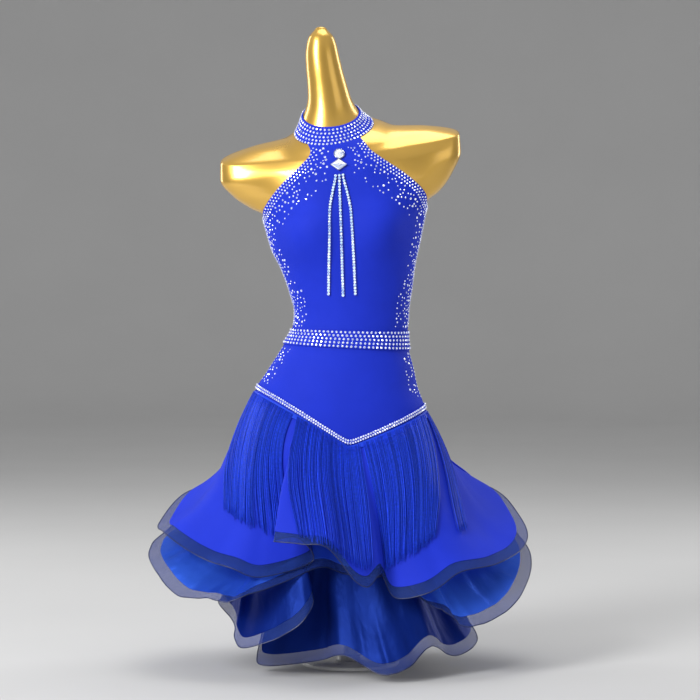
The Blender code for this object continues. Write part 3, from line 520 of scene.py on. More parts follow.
def section_at(height):
    heights = SECTION_COLUMNS["height"]
    return Section(*(hermite(heights, SECTION_COLUMNS[name], height) for name in Section._fields))


def body_point(angle, height, out=0.0):
    """Points of the fitted cloth's outer face, moved out by a distance. Angles are in
    degrees from the centre front, positive towards +X."""
    angle, height, out = np.broadcast_arrays(np.asarray(angle, float), height, out)
    cut = section_at(height)
    across = np.sin(np.radians(angle))
    ahead = np.cos(np.radians(angle))
    depth = np.where(ahead > 0, cut.front, cut.back)
    trunk = 1 / np.hypot(across / cut.half_width, ahead / depth)
    stub = (np.abs(across / cut.reach) ** 3 + np.abs(ahead / cut.arm) ** 3) ** (-1 / 3)
    radius = (trunk ** 8 + stub ** 8) ** (1 / 8) + out
    for side in (-1, 1):
        turn = (angle - side * BUST_ANGLE) / BUST_SPREAD_ANGLE
        climb = (height - BUST_HEIGHT) / BUST_SPREAD_HEIGHT
        radius = radius + BUST_RISE * np.exp(-turn * turn - climb * climb)
    x = radius * across
    y = -radius * ahead
    return np.stack((cut.shift + x, y, height + cut.roll * x + cut.pitch * y), axis=-1)


def body_slopes(angle, height):
    """How the fitted surface moves for a degree round and for a metre of section height."""
    around = body_point(angle + ANGLE_STEP, height) - body_point(angle - ANGLE_STEP, height)
    upwards = body_point(angle, height + HEIGHT_STEP) - body_point(angle, height - HEIGHT_STEP)
    return around / (2 * ANGLE_STEP), upwards / (2 * HEIGHT_STEP)


def body_walk(angle, height, step):
    """Angle and height of the place that a short step leads to along the surface."""
    around, upwards = body_slopes(angle, height)
    aa = np.sum(around * around, axis=-1)
    uu = np.sum(upwards * upwards, axis=-1)
    au = np.sum(around * upwards, axis=-1)
    sa = np.sum(step * around, axis=-1)
    su = np.sum(step * upwards, axis=-1)
    scale = aa * uu - au * au
    return angle + (sa * uu - su * au) / scale, height + (su * aa - sa * au) / scale


def hip_line(angle):
    """Height of the hip seam: a V at the front and a shallower one at the back."""
    ahead = np.cos(np.radians(angle))
    tip = np.where(ahead > 0, HIP_FRONT_TIP, HIP_BACK_TIP)
    turned = np.radians(angle - HIP_TIP_TURN * np.maximum(0.0, ahead))
    aside = np.sin(turned) / np.hypot(np.sin(turned), HIP_FLATNESS * np.cos(turned))
    rise = np.hypot(aside, HIP_TIP_SOFTNESS) - HIP_TIP_SOFTNESS
    return tip + (HIP_SIDE - tip) * rise / (math.hypot(1, HIP_TIP_SOFTNESS) - HIP_TIP_SOFTNESS)


def halve(reached, goal, low, high):
    """Arguments where a rising function reaches its goals."""
    low = np.full(np.shape(goal), float(low))
    high = np.full(np.shape(goal), float(high))
    for _ in range(30):
        middle = (low + high) / 2
        short = reached(middle) < goal
        low = np.where(short, middle, low)
        high = np.where(short, high, middle)
    return low


def armhole_angle(height):
    """Angle of the armhole edge at section heights, 90 where the sides are closed."""
    height = np.asarray(height, float)
    half_span = hermite(column(ARMHOLES, "height"), column(ARMHOLES, "half_span"), height)

    def reached(angle):
        return body_point(angle, height)[..., 0] - section_at(height).shift

    return np.where(height <= ARMHOLES[0].height, 90.0, halve(reached, half_span, 0, 90))


def angle_at(x, height):
    """Angle of the front surface at X positions."""
    return halve(lambda angle: body_point(angle, height)[..., 0], x, -80, 80)


def back_top(angle):
    """Height of the back's curved top edge."""
    return ARMHOLES[0].height - BACK_NECK_DROP * np.cos(np.radians(angle)) ** 2


def armhole_ease(side, height):
    """How far the cloth stands off the form under the arms."""
    climb = (height - ARMHOLE_EASE_HEIGHT) / ARMHOLE_EASE_SPREAD
    return ARMHOLE_EASE * side * side * np.exp(-climb * climb)


def dent(angle, height):
    """Soft creases of the fitted cloth."""
    total = np.zeros(np.broadcast(angle, height).shape)
    for crease in BODICE_CREASES:
        across = ((angle - crease.angle + 180) % 360 - 180) * math.radians(1) * WAIST_RADIUS
        climb = height - crease.height
        turn = math.radians(crease.slope)
        along = across * math.cos(turn) + climb * math.sin(turn)
        aside = climb * math.cos(turn) - across * math.sin(turn)
        total += crease.depth * np.exp(-(along / crease.length) ** 2
                                       - (aside / crease.width) ** 2)
    return total


# ---------------------------------------------------------------- the skirt's surface
def hem_at(hem, place):
    """Hem values at places from 0 to the number of rows, round the closed table."""
    count = len(hem)
    place = np.asarray(place, float)
    whole = np.floor(place).astype(int)
    t = place - whole
    values = []
    for name in Hem._fields:
        rows = column(hem, name)
        turn = 360 if name == "hip" else 0
        a, b, c, d = (rows[(whole + k) % count] + turn * ((whole + k) // count)
                      for k in (-1, 0, 1, 2))
        bend = 2 * a - 5 * b + 4 * c - d + t * (3 * (b - c) + d - a)
        values.append(b + 0.5 * t * (c - a + t * bend))
    return Hem(*values)


def hang(layer, place, fall):
    """Points of a layer's inner face: fall runs from 0 at the hips to 1 at the hem."""
    place, fall = np.broadcast_arrays(np.asarray(place, float), np.asarray(fall, float))
    end = hem_at(layer.hem, place)
    start = body_point(end.hip, hip_line(end.hip) - SKIRT_DROP - layer.drop,
                       layer.lift - CLOTH)
    goal = np.stack((end.x, end.y, end.z), axis=-1)
    turn = np.radians(end.hip)
    outward = np.stack((np.sin(turn), -np.cos(turn), 0 * turn), axis=-1)
    length = np.linalg.norm(goal - start, axis=-1, keepdims=True)
    spring = math.radians(layer.spring)
    leave = outward * math.sin(spring) - UP * math.cos(spring)
    away = unit((goal - start) * (1, 1, 0))
    flare = np.radians(end.flare)[..., None]
    arrive = away * np.sin(flare) - UP * np.cos(flare)
    first = start + leave * length * layer.pull
    second = goal - arrive * length * BELLY
    fall = fall[..., None]
    keep = 1 - fall
    return (start * keep ** 3 + first * 3 * keep ** 2 * fall
            + second * 3 * keep * fall ** 2 + goal * fall ** 3)


def layer_normal(layer, place, fall):
    along = hang(layer, place + SLOPE_STEP, fall) - hang(layer, place - SLOPE_STEP, fall)
    low = np.maximum(0.0, fall - SLOPE_STEP)
    high = np.minimum(1.0, fall + SLOPE_STEP)
    return unit(np.cross(hang(layer, place, high) - hang(layer, place, low), along))


def crease_depth(layer, place, fall):
    """How far a layer's creases lift it off its plain form."""
    count = len(layer.hem)
    total = np.zeros(np.broadcast(place, fall).shape)
    for crease in layer.creases:
        share = (fall - crease.start) / (crease.end - crease.start)
        fade = np.sin(np.pi * np.clip(share, 0, 1)) ** 2
        aside = place - crease.place - crease.drift * share
        aside = (aside + count / 2) % count - count / 2
        total += crease.depth * fade * np.exp(-(aside / crease.width) ** 2)
    return total


def skirt_point(layer, place, fall, out=0.0):
    """Points of a layer's creased outer face, moved out by a distance."""
    place = np.asarray(place, float)
    fall = np.asarray(fall, float)
    lift = CLOTH + crease_depth(layer, place, fall) + out
    return hang(layer, place, fall) + layer_normal(layer, place, fall) * lift[..., None]


def braid_fall(layer):
    """Fall at which the cloth ends and the braid begins, the same all round."""
    places = np.arange(len(layer.hem))
    last = 1 + 0.0 * places
    short = hang(layer, places, last) - hang(layer, places, last - SLOPE_STEP)
    return 1 - SLOPE_STEP * BRAID_WIDTH / np.linalg.norm(short, axis=-1).mean()


def place_at(hem, hip):
    """Places along a hem whose cloth leaves the hips at angles."""
    places = np.linspace(0, len(hem), 200 * len(hem) + 1)
    hips = hem_at(hem, places).hip
    return np.interp((hip - hips[0]) % 360, hips - hips[0], places)


# ---------------------------------------------------------------- meshes
def make_piece(name, points, faces, look, uv=None, sharp=50.0):
    """Piece riding on the body, from arrays of points and faces. uv holds a pair for each
    corner of each face, in the faces' order."""
    mesh = bpy.data.meshes.new(name)
    mesh.from_pydata(np.asarray(points).tolist(), [], [list(face) for face in faces])
    if uv is not None:
        layer = mesh.uv_layers.new(name="cloth")
        layer.data.foreach_set("uv", np.asarray(uv, np.float32).ravel())
    mesh.materials.append(look)
    mesh.shade_smooth()
    mesh.set_sharp_from_angle(angle=math.radians(sharp))
    piece = bpy.data.objects.new(name, mesh)
    bpy.context.scene.collection.objects.link(piece)
    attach(piece, BODY)
    return piece


def stands_for(piece, *nodes):
    """A piece that shows in the place of CAD nodes, which are hidden."""
    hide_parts(*nodes)
    return piece


def give_attribute(piece, name, values, domain="POINT"):
    attribute = piece.data.attributes.new(name, "FLOAT", domain)
    attribute.data.foreach_set("value", np.asarray(values, np.float32))


def give_facet_glints(piece):
    """Gives each of a cut stone's facets a random brightness: painted glints, the light that the
    facets would reflect.
    """
    shade = random.Random(piece.name)
    give_attribute(piece, "facet", [shade.random() for _ in piece.data.polygons], "FACE")


def grid_quads(rows, columns, closed):
    """Corners of a grid's faces as (row, column) pairs, facing out where the rows run down
    and the columns run anticlockwise seen from above. A closed grid's last column has the
    number of its first one plus the count, so that its UV runs on."""
    spans = columns if closed else columns - 1
    r, c = (a.ravel() for a in np.meshgrid(np.arange(rows - 1), np.arange(spans),
                                           indexing="ij"))
    return np.stack((np.stack((r, c), -1), np.stack((r + 1, c), -1),
                     np.stack((r + 1, c + 1), -1), np.stack((r, c + 1), -1)), axis=1)


def shell(name, outer, inner, closed, look, sharp=50.0):
    """Thin closed cloth between an outer and an inner grid of points. The grids' rows run
    down. Its UV is in metres along the cloth."""
    rows, columns = outer.shape[:2]
    quads = grid_quads(rows, columns, closed)
    spans = columns if closed else columns - 1
    c = np.arange(spans)
    r = np.arange(rows - 1)

    def corners(*pairs):
        return np.stack([np.stack(np.broadcast_arrays(a, b), -1) for a, b in pairs], axis=1)

    top, bottom = corners((0, c), (0, c + 1)), corners((rows - 1, c + 1), (rows - 1, c))
    rims = [(top, top[:, ::-1]), (bottom, bottom[:, ::-1])]
    if not closed:
        left, right = corners((r + 1, 0), (r, 0)), corners((r, spans), (r + 1, spans))
        rims += [(left, left[:, ::-1]), (right, right[:, ::-1])]

    def index(pairs, side):
        return pairs[..., 0] * columns + pairs[..., 1] % columns + side * rows * columns

    faces = [index(quads, 0), index(quads, 1)[:, ::-1]]
    marks = [quads, quads[:, ::-1]]
    for out_edge, in_edge in rims:
        faces.append(np.concatenate((index(out_edge, 0), index(in_edge, 1)), axis=1))
        marks.append(np.concatenate((out_edge, in_edge), axis=1))
    faces = np.concatenate(faces)
    marks = np.concatenate(marks)

    middle = outer[rows // 2]
    ring = np.concatenate((middle, middle[:1])) if closed else middle
    around = path_lengths(ring)
    drops = np.linalg.norm(np.diff(outer, axis=0), axis=-1).mean(axis=1)
    downwards = np.concatenate(([0.0], np.cumsum(drops)))
    uv = np.stack((around[marks[..., 1]], -downwards[marks[..., 0]]), axis=-1)
    points = np.concatenate((outer.reshape(-1, 3), inner.reshape(-1, 3)))
    return make_piece(name, points, faces, look, uv, sharp)


def tube_grid(path, radius, sides, up):
    """Rings of points round a path, with their flat side turned by an up direction."""
    along = unit(np.gradient(path, axis=0))
    side = unit(np.cross(along, up))
    out = np.cross(side, along)
    turn = np.arange(sides) * 2 * math.pi / sides
    return (path[:, None] + radius * (side[:, None] * np.cos(turn)[:, None]
                                      + out[:, None] * np.sin(turn)[:, None]))


def tube_faces(rows, sides, first=0):
    """Faces between the rings of a tube, with a cap at each end."""
    last = first + (rows - 1) * sides
    faces = [(a + k, a + (k + 1) % sides, a + sides + (k + 1) % sides, a + sides + k)
             for a in range(first, last, sides) for k in range(sides)]
    return faces + [tuple(range(first, first + sides))[::-1], tuple(range(last, last + sides))]


# ---------------------------------------------------------------- modelling by hand
def fresh_start():
    """Nothing selected, so that a new primitive is the only thing an operator acts on."""
    if bpy.context.object and bpy.context.object.mode != "OBJECT":
        bpy.ops.object.mode_set(mode="OBJECT")
    bpy.ops.object.select_all(action="DESELECT")


def add_drum(name, sides, radius, low, high, centre=(0.0, 0.0)):
    """Upright drum in edit mode, with its top face selected."""
    fresh_start()
    bpy.ops.mesh.primitive_cylinder_add(vertices=sides, radius=radius, depth=high - low,
                                        location=(centre[0], centre[1], (low + high) / 2))
    piece = bpy.context.object
    piece.name = name
    bpy.ops.object.transform_apply(location=True, rotation=True, scale=True)
    bpy.ops.object.mode_set(mode="EDIT")
    select_faces(lambda face: face.normal.z > 0.9)
    return piece


def select_faces(wanted):
    """Selects the faces that a test picks, in edit mode."""
    form = bmesh.from_edit_mesh(bpy.context.object.data)
    bpy.ops.mesh.select_all(action="DESELECT")
    for face in form.faces:
        if wanted(face):
            face.select_set(True)
    bmesh.update_edit_mesh(bpy.context.object.data)


def step_up(rise, share, centre=(0.0, 0.0, 0.0)):
    """Extrudes the selected top face up by a rise and draws it in to a share of its size."""
    bpy.ops.mesh.extrude_region_move(TRANSFORM_OT_translate={"value": (0, 0, rise)})
    bpy.ops.transform.resize(value=(share, share, 1), center_override=centre)


def hollow(rim, depth):
    """Sinks the selected top face inside a rim."""
    bpy.ops.mesh.inset(thickness=rim)
    bpy.ops.mesh.extrude_region_move(TRANSFORM_OT_translate={"value": (0, 0, -depth)})


def leave_edit(angle=30.0):
    bpy.ops.object.mode_set(mode="OBJECT")
    bpy.ops.object.shade_smooth_by_angle(angle=math.radians(angle))
    return bpy.context.object


def soften(piece, width, segments):
    """Bevels a piece's sharp edges and applies the modifier."""
    edge = piece.modifiers.new("edge", "BEVEL")
    edge.width = width
    edge.segments = segments
    edge.limit_method = "ANGLE"
    bpy.ops.object.modifier_apply(modifier=edge.name)
    bpy.ops.object.shade_smooth_by_angle(angle=math.radians(30))


def dress_up(piece, look):
    """A hand-made piece with its material, riding on the body."""
    piece.data.materials.append(look_of(look))
    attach(piece, BODY)
    return piece


def take_pattern(piece):
    """Points and faces of a small modelled part, which is then cleared away."""
    points = np.array([tuple(vertex.co) for vertex in piece.data.vertices])
    faces = [tuple(face.vertices) for face in piece.data.polygons]
    bpy.data.objects.remove(piece, do_unlink=True)
    return points, faces


def cut_stone(name, sides, girdle, steps):
    """Stone of radius 1 with a flat back on z = 0: a girdle, and steps of (rise, share)."""
    add_drum(name, sides, 1.0, 0.0, girdle)
    height = girdle
    for rise, share in steps:
        height += rise
        step_up(rise, share, (0, 0, height))
    return leave_edit(1.0)


def copy_along(name, pattern, places, sizes, look, spin, sharp=5.0):
    """One mesh of many copies of a pattern. places holds the points and their normals,
    sizes the radius and height of each copy, and spin its turn about the normal."""
    points, faces = pattern
    seats, normals = places
    count = len(seats)
    across = unit(np.cross(normals, UP + 0.001))
    upright = np.cross(normals, across)
    turn = np.broadcast_to(spin, count)[:, None]
    first = across * np.cos(turn) + upright * np.sin(turn)
    second = np.cross(normals, first)
    radius = np.broadcast_to(sizes[0], count)[:, None, None]
    height = np.broadcast_to(sizes[1], count)[:, None, None]
    copies = (seats[:, None] + radius * (points[None, :, :1] * first[:, None]
                                         + points[None, :, 1:2] * second[:, None])
              + height * points[None, :, 2:] * normals[:, None])
    all_faces = [tuple(corner + k * len(points) for corner in face)
                 for k in range(count) for face in faces]
    piece = make_piece(name, copies.reshape(-1, 3), all_faces, look, sharp=sharp)
    # Random brightness for the facets of each copy, which the stone looks show as painted glints.
    give_facet_glints(piece)
    return piece


# ---------------------------------------------------------------- shader node groups
def start_group(name, inputs, output, kind):
    """Empty node group with its inputs, and one output."""
    tree = bpy.data.node_groups.new(name, "ShaderNodeTree")
    for label, socket_kind, value in inputs:
        socket = tree.interface.new_socket(label, in_out="INPUT", socket_type=socket_kind)
        socket.default_value = value
    tree.interface.new_socket(output, in_out="OUTPUT", socket_type=kind)
    return tree, tree.nodes.new("NodeGroupInput"), tree.nodes.new("NodeGroupOutput")


def put(tree, kind, links=None, **settings):
    """Node with its settings. Numbers and sockets in links go to the inputs named there."""
    node = tree.nodes.new(kind)
    for key, value in settings.items():
        setattr(node, key, value)
    for key, value in (links or {}).items():
        if isinstance(value, bpy.types.NodeSocket):
            tree.links.new(value, node.inputs[key])
        else:
            node.inputs[key].default_value = value
    return node


def maths(tree, operation, *values):
    return put(tree, "ShaderNodeMath", dict(enumerate(values)), operation=operation).outputs[0]


def spread(tree, value, low, high, to_low, to_high):
    """Value carried from one range to another."""
    return put(tree, "ShaderNodeMapRange", {0: value, 1: low, 2: high, 3: to_low, 4: to_high},
               clamp=True).outputs[0]


def object_noise(tree, place, scale, detail):
    """Noise over a piece's own coordinates."""
    return put(tree, "ShaderNodeTexNoise", {"Vector": place.outputs["Object"],
                                            "Scale": scale, "Detail": detail}).outputs[0]


def cloth_uv(tree):
    """Place along and down the cloth, in metres."""
    place = put(tree, "ShaderNodeUVMap", uv_map="cloth")
    return put(tree, "ShaderNodeSeparateXYZ", {0: place.outputs[0]}).outputs


def colour_drift_group():
    """Colour that drifts lighter and darker over the surface."""
    tree, given, result = start_group("Colour Drift", (
        ("Colour", "NodeSocketColor", (0.5, 0.5, 0.5, 1)),
        ("Amount", "NodeSocketFloat", 0.1),
        ("Scale", "NodeSocketFloat", 20.0)), "Colour", "NodeSocketColor")
    place = put(tree, "ShaderNodeTexCoord")
    noise = object_noise(tree, place, given.outputs["Scale"], 5.0)
    centred = spread(tree, noise, 0.3, 0.7, -1.0, 1.0)
    drift = maths(tree, "MULTIPLY_ADD", centred, given.outputs["Amount"], 1.0)
    shade = put(tree, "ShaderNodeVectorMath", {0: given.outputs["Colour"], "Scale": drift},
                operation="SCALE")
    tree.links.new(shade.outputs[0], result.inputs[0])
    return tree


def knit_group():
    """Height of a fine knit: columns of small loops, from the cloth's own UV in metres."""
    tree, given, result = start_group("Fine Knit", (
        ("Pitch", "NodeSocketFloat", 0.0012),), "Height", "NodeSocketFloat")
    part = cloth_uv(tree)
    turns = maths(tree, "DIVIDE", FULL_TURN, given.outputs["Pitch"])
    across = maths(tree, "MULTIPLY", part[0], turns)
    columns = maths(tree, "SINE", across)
    lean = maths(tree, "ABSOLUTE", columns)
    down = maths(tree, "MULTIPLY", part[1], turns)
    loops = maths(tree, "SINE", maths(tree, "MULTIPLY_ADD", lean, 1.6, down))
    height = maths(tree, "MULTIPLY_ADD", loops, 0.5, lean)
    tree.links.new(height, result.inputs[0])
    return tree


def crinkle_group():
    """Height of light crinkles that run down the cloth."""
    tree, given, result = start_group("Soft Crinkle", (
        ("Size", "NodeSocketFloat", 0.05),
        ("Length", "NodeSocketFloat", 3.0)), "Height", "NodeSocketFloat")
    part = cloth_uv(tree)
    across = maths(tree, "DIVIDE", part[0], given.outputs["Size"])
    down = maths(tree, "DIVIDE", maths(tree, "DIVIDE", part[1], given.outputs["Size"]),
                 given.outputs["Length"])
    spot = put(tree, "ShaderNodeCombineXYZ", {0: across, 1: down})
    noise = put(tree, "ShaderNodeTexNoise", {"Vector": spot.outputs[0], "Scale": 1.0,
                                             "Detail": 3.0, "Distortion": 0.6})
    tree.links.new(noise.outputs[0], result.inputs[0])
    return tree


def lattice_group():
    """Mask of crossing threads, 1 on a thread and 0 between, from the UV in metres."""
    tree, given, result = start_group("Bias Lattice", (
        ("Pitch", "NodeSocketFloat", 0.0022),
        ("Thread", "NodeSocketFloat", 0.5)), "Mask", "NodeSocketFloat")
    part = cloth_uv(tree)
    turns = maths(tree, "DIVIDE", FULL_TURN, given.outputs["Pitch"])
    waves = []
    for operation in ("ADD", "SUBTRACT"):
        slant = maths(tree, operation, part[0], part[1])
        waves.append(maths(tree, "SINE", maths(tree, "MULTIPLY", slant, turns)))
    crossing = maths(tree, "MAXIMUM", *waves)
    edge = maths(tree, "MULTIPLY_ADD", given.outputs["Thread"], -2.0, 1.0)
    soft = maths(tree, "SUBTRACT", crossing, edge)
    tree.links.new(spread(tree, soft, -0.3, 0.3, 0.0, 1.0), result.inputs[0])
    return tree


GROUP_MAKERS = {
    "Colour Drift": colour_drift_group,
    "Fine Knit": knit_group,
    "Soft Crinkle": crinkle_group,
    "Bias Lattice": lattice_group,
}


def use_group(tree, name, links):
    """Node group placed in a material, made the first time it is asked for."""
    group = bpy.data.node_groups.get(name) or GROUP_MAKERS[name]()
    node = tree.nodes.new("ShaderNodeGroup")
    node.node_tree = group
    for key, value in links.items():
        node.inputs[key].default_value = value
    return node.outputs[0]


# ---------------------------------------------------------------- materials
def chosen(name):
    """Colour picked in the settings."""
    return tuple(getattr(bpy.context.scene.dress_colours, name))


def new_look(name, colour, **sockets):
    """Material with its own shader. The sockets' values are uniform over the surface."""
    look = bpy.data.materials.new(name)
    look.use_nodes = True
    look.diffuse_color = (*colour, 1)
    shader = look.node_tree.nodes["Principled BSDF"]
    shader.inputs["Base Color"].default_value = (*colour, 1)
    for key, value in sockets.items():
        shader.inputs[key.replace("_", " ")].default_value = value
    return look, look.node_tree, shader


def drift_colour(tree, shader, colour, amount, scale):
    tint = use_group(tree, "Colour Drift",
                     {"Colour": (*colour, 1), "Amount": amount, "Scale": scale})
    tree.links.new(tint, shader.inputs["Base Color"])
    return tint


def add_bump(tree, shader, height, distance, strength=1.0, before=None):
    links = {"Strength": strength, "Distance": distance, "Height": height}
    if before is not None:
        links["Normal"] = before
    bump = put(tree, "ShaderNodeBump", links)
    tree.links.new(bump.outputs[0], shader.inputs["Normal"])
    return bump.outputs[0]


def jersey_look():
    """Matt stretch jersey with a fine knit and a soft bloom."""
    colour = chosen("jersey")
    look, tree, shader = new_look("stretch_jersey", colour, Roughness=0.62,
                                  Sheen_Weight=0.12, Sheen_Roughness=0.5,
                                  Sheen_Tint=(0.03, 0.12, 1.0, 1), Specular_IOR_Level=0.12)
    drift_colour(tree, shader, colour, 0.05, 14.0)
    knit = use_group(tree, "Fine Knit", {"Pitch": 0.0011})
    first = add_bump(tree, shader, knit, 0.00012, 0.5)
    crinkle = use_group(tree, "Soft Crinkle", {"Size": 0.045, "Length": 2.5})
    add_bump(tree, shader, crinkle, 0.0016, 0.35, first)
    return look


def satin_look(name, colour, metal, roughness, gleam):
    """Satin with long soft crinkles and a sheen that runs across its floats."""
    look, tree, shader = new_look(name, colour, Roughness=roughness, Metallic=metal,
                                  Anisotropic=0.4, Specular_IOR_Level=gleam,
                                  Specular_Tint=(0.25, 0.5, 1.0, 1))
    drift_colour(tree, shader, colour, 0.12, 11.0)
    weave = use_group(tree, "Fine Knit", {"Pitch": 0.0006})
    first = add_bump(tree, shader, weave, 0.00004, 0.4)
    crinkle = use_group(tree, "Soft Crinkle", {"Size": 0.022, "Length": 3.5})
    second = add_bump(tree, shader, crinkle, 0.0026, 0.55, first)
    broad = use_group(tree, "Soft Crinkle", {"Size": 0.07, "Length": 2.0})
    add_bump(tree, shader, broad, 0.008, 0.5, second)
    return look


def horsehair_look():
    """Stiff see-through braid of crossing nylon threads."""
    colour = chosen("braid")
    look, tree, shader = new_look("horsehair_braid", colour, Roughness=0.5,
                                  Specular_IOR_Level=0.2, Specular_Tint=(0.5, 0.65, 1.0, 1))
    drift_colour(tree, shader, colour, 0.15, 9.0)
    lattice = use_group(tree, "Bias Lattice", {"Pitch": 0.0024, "Thread": 0.45})
    tree.links.new(spread(tree, lattice, 0.0, 1.0, 0.16, 0.60), shader.inputs["Alpha"])
    add_bump(tree, shader, lattice, 0.0002, 0.6)
    return look


def piping_look():
    """Twisted nylon edge of the braid."""
    colour = tuple(0.3 * part for part in chosen("braid"))
    look, tree, shader = new_look("braid_piping", colour, Roughness=0.4)
    drift_colour(tree, shader, colour, 0.25, 60.0)
    return look


def thread_look():
    """Rayon fringe, each strand a little lighter or darker than the next."""
    colour = chosen("fringe")
    look, tree, shader = new_look("rayon_thread", colour, Roughness=0.42, Anisotropic=0.5,
                                  Specular_IOR_Level=0.4, Specular_Tint=(0.2, 0.4, 1.0, 1))
    strand = put(tree, "ShaderNodeAttribute", attribute_name="strand")
    level = spread(tree, strand.outputs["Fac"], 0.0, 1.0, 0.62, 1.30)
    drift = use_group(tree, "Colour Drift",
                      {"Colour": (*colour, 1), "Amount": 0.18, "Scale": 260.0})
    shade = put(tree, "ShaderNodeVectorMath", {0: drift, "Scale": level}, operation="SCALE")
    tree.links.new(shade.outputs[0], shader.inputs["Base Color"])
    return look


def crystal_look(name, colour, painted_glow):
    """Foiled cut stones: the facets' random brightness sets their colour as painted glints and
    painted reflections, and they glow a little as painted light.
    """
    # The emission strength is a painted glow: light from stones that are no lamp.
    look, tree, shader = new_look(name, colour, Metallic=0.5, Roughness=0.08,
                                  Coat_Weight=1.0, Coat_Roughness=0.02,
                                  Emission_Strength=painted_glow)
    facet = put(tree, "ShaderNodeAttribute", attribute_name="facet")
    # Ramp from dark blue grey to white over the facets' random brightness: painted shade to painted
    # glint, used for both colour and glow.
    glint_tints = put(tree, "ShaderNodeValToRGB", {0: facet.outputs["Fac"]})
    ramp = glint_tints.color_ramp
    ramp.elements[0].color = tuple(a * b for a, b in zip((0.22, 0.28, 0.55), colour)) + (1,)
    for place, shade in ((0.3, (0.52, 0.60, 0.88)), (0.55, (0.86, 0.90, 1.0))):
        stop = ramp.elements.new(place)
        stop.color = tuple(a * b for a, b in zip(shade, colour)) + (1,)
    tree.links.new(glint_tints.outputs[0], shader.inputs["Base Color"])
    tree.links.new(glint_tints.outputs[0], shader.inputs["Emission Color"])
    return look


def silver_look():
    """Small metal settings, a little darker where the metal has dulled."""
    colour = (0.72, 0.74, 0.80)
    look, tree, shader = new_look("silver_settings", colour, Metallic=1.0, Roughness=0.25)
    drift_colour(tree, shader, colour, 0.15, 300.0)
    return look


def gold_look():
    """Glossy gold paint with faint orange peel and slightly uneven gloss."""
    colour = chosen("gold")
    look, tree, shader = new_look("gold_lacquer", colour, Metallic=0.75, Coat_Weight=0.6,
                                  Coat_Roughness=0.08)
    drift_colour(tree, shader, colour, 0.03, 6.0)
    place = put(tree, "ShaderNodeTexCoord")
    patches = object_noise(tree, place, 9.0, 4.0)
    tree.links.new(spread(tree, patches, 0.3, 0.7, 0.27, 0.31), shader.inputs["Roughness"])
    add_bump(tree, shader, object_noise(tree, place, 420.0, 2.0), 0.00003, 0.15)
    return look


def enamel_look():
    """White enamel of the stand, with light scuffs."""
    colour = chosen("enamel")
    look, tree, shader = new_look("white_enamel", colour, Coat_Weight=0.4)
    drift_colour(tree, shader, colour, 0.04, 18.0)
    place = put(tree, "ShaderNodeTexCoord")
    scuffs = object_noise(tree, place, 60.0, 6.0)
    tree.links.new(spread(tree, scuffs, 0.35, 0.7, 0.25, 0.45), shader.inputs["Roughness"])
    add_bump(tree, shader, scuffs, 0.00008, 0.25)
    return look


def floor_look():
    look, tree, shader = new_look("studio_floor", (0.62, 0.62, 0.62), Roughness=0.8)
    drift_colour(tree, shader, (0.62, 0.62, 0.62), 0.015, 2.0)
    return look


LOOK_MAKERS = {
    "stretch_jersey": jersey_look,
    "bright_satin": lambda: satin_look(
        "bright_satin", chosen("satin"), 0.55, 0.28, 0.6),
    # The petticoat's satin: the same satin darkened, painted shade for the lowest layer in the
    # shadow of the others, with less gleam.
    "deep_satin": lambda: satin_look(
        "deep_satin", chosen("petticoat"), 0.22, 0.32, 0.12),
    "horsehair_braid": horsehair_look,
    "braid_piping": piping_look,
    "rayon_thread": thread_look,
    # Stone looks: their colour and the strength of their painted glow.
    "white_stones": lambda: crystal_look("white_stones", (1.0, 1.0, 1.0), 0.34),
    "ice_stones": lambda: crystal_look("ice_stones", (0.54, 0.76, 1.0), 0.75),
    "silver_settings": silver_look,
    "gold_lacquer": gold_look,
    "white_enamel": enamel_look,
    "studio_floor": floor_look,
}


def look_of(name):
    return bpy.data.materials.get(name) or LOOK_MAKERS[name]()


# ---------------------------------------------------------------- the parts
def rows_between(*spans):
    """Rising heights: (low, high, count) for each span, without doubled ends."""
    return np.unique(np.concatenate([np.linspace(*span) for span in spans]))


def build_form():
    """Smooth limbless torso with capped shoulder stubs, a neck and a flat underside."""
    heights = rows_between((FORM_BOTTOM, FORM_BOTTOM + 0.02, 9), (0.35, 0.80, 56),
                           (0.80, 0.97, 96), (0.97, FORM_TOP, 64))
    angles = np.linspace(-180, 180, FORM_COLUMNS + 1)[:-1]
    up = heights[:, None]
    rounding = np.clip(FORM_ROUNDING - (up - FORM_BOTTOM), 0, FORM_ROUNDING)
    drawn_in = FORM_ROUNDING - np.sqrt(FORM_ROUNDING ** 2 - rounding ** 2)
    points = body_point(angles[None], up, -FORM_INSET - drawn_in)
    level = smooth_step(FORM_BOTTOM, 0.40, up)
    points[..., 2] = up + (points[..., 2] - up) * level
    top = points[-1].mean(axis=0)
    domes = []
    for turn in np.linspace(0, math.pi / 2, 7)[1:-1]:
        ring = top + (points[-1] - top) * math.cos(turn)
        ring[:, 2] += FORM_CROWN * math.sin(turn)
        domes.append(ring)
    rings = np.concatenate((points, domes))
    rows, columns = rings.shape[:2]
    quads = grid_quads(rows, columns, True)[:, ::-1]
    index = quads[..., 0] * columns + quads[..., 1] % columns
    faces = index.tolist()
    flat = rings.reshape(-1, 3)
    bottom, crown = points[0].mean(axis=0), top + UP * FORM_CROWN
    flat = np.concatenate((flat, [bottom, crown]))
    last = (rows - 1) * columns
    for j in range(columns):
        k = (j + 1) % columns
        faces.append((k, j, len(flat) - 2))
        faces.append((last + j, last + k, len(flat) - 1))
    piece = make_piece("torso_form", flat, faces, look_of("gold_lacquer"))
    stands_for(piece, "form_torso")


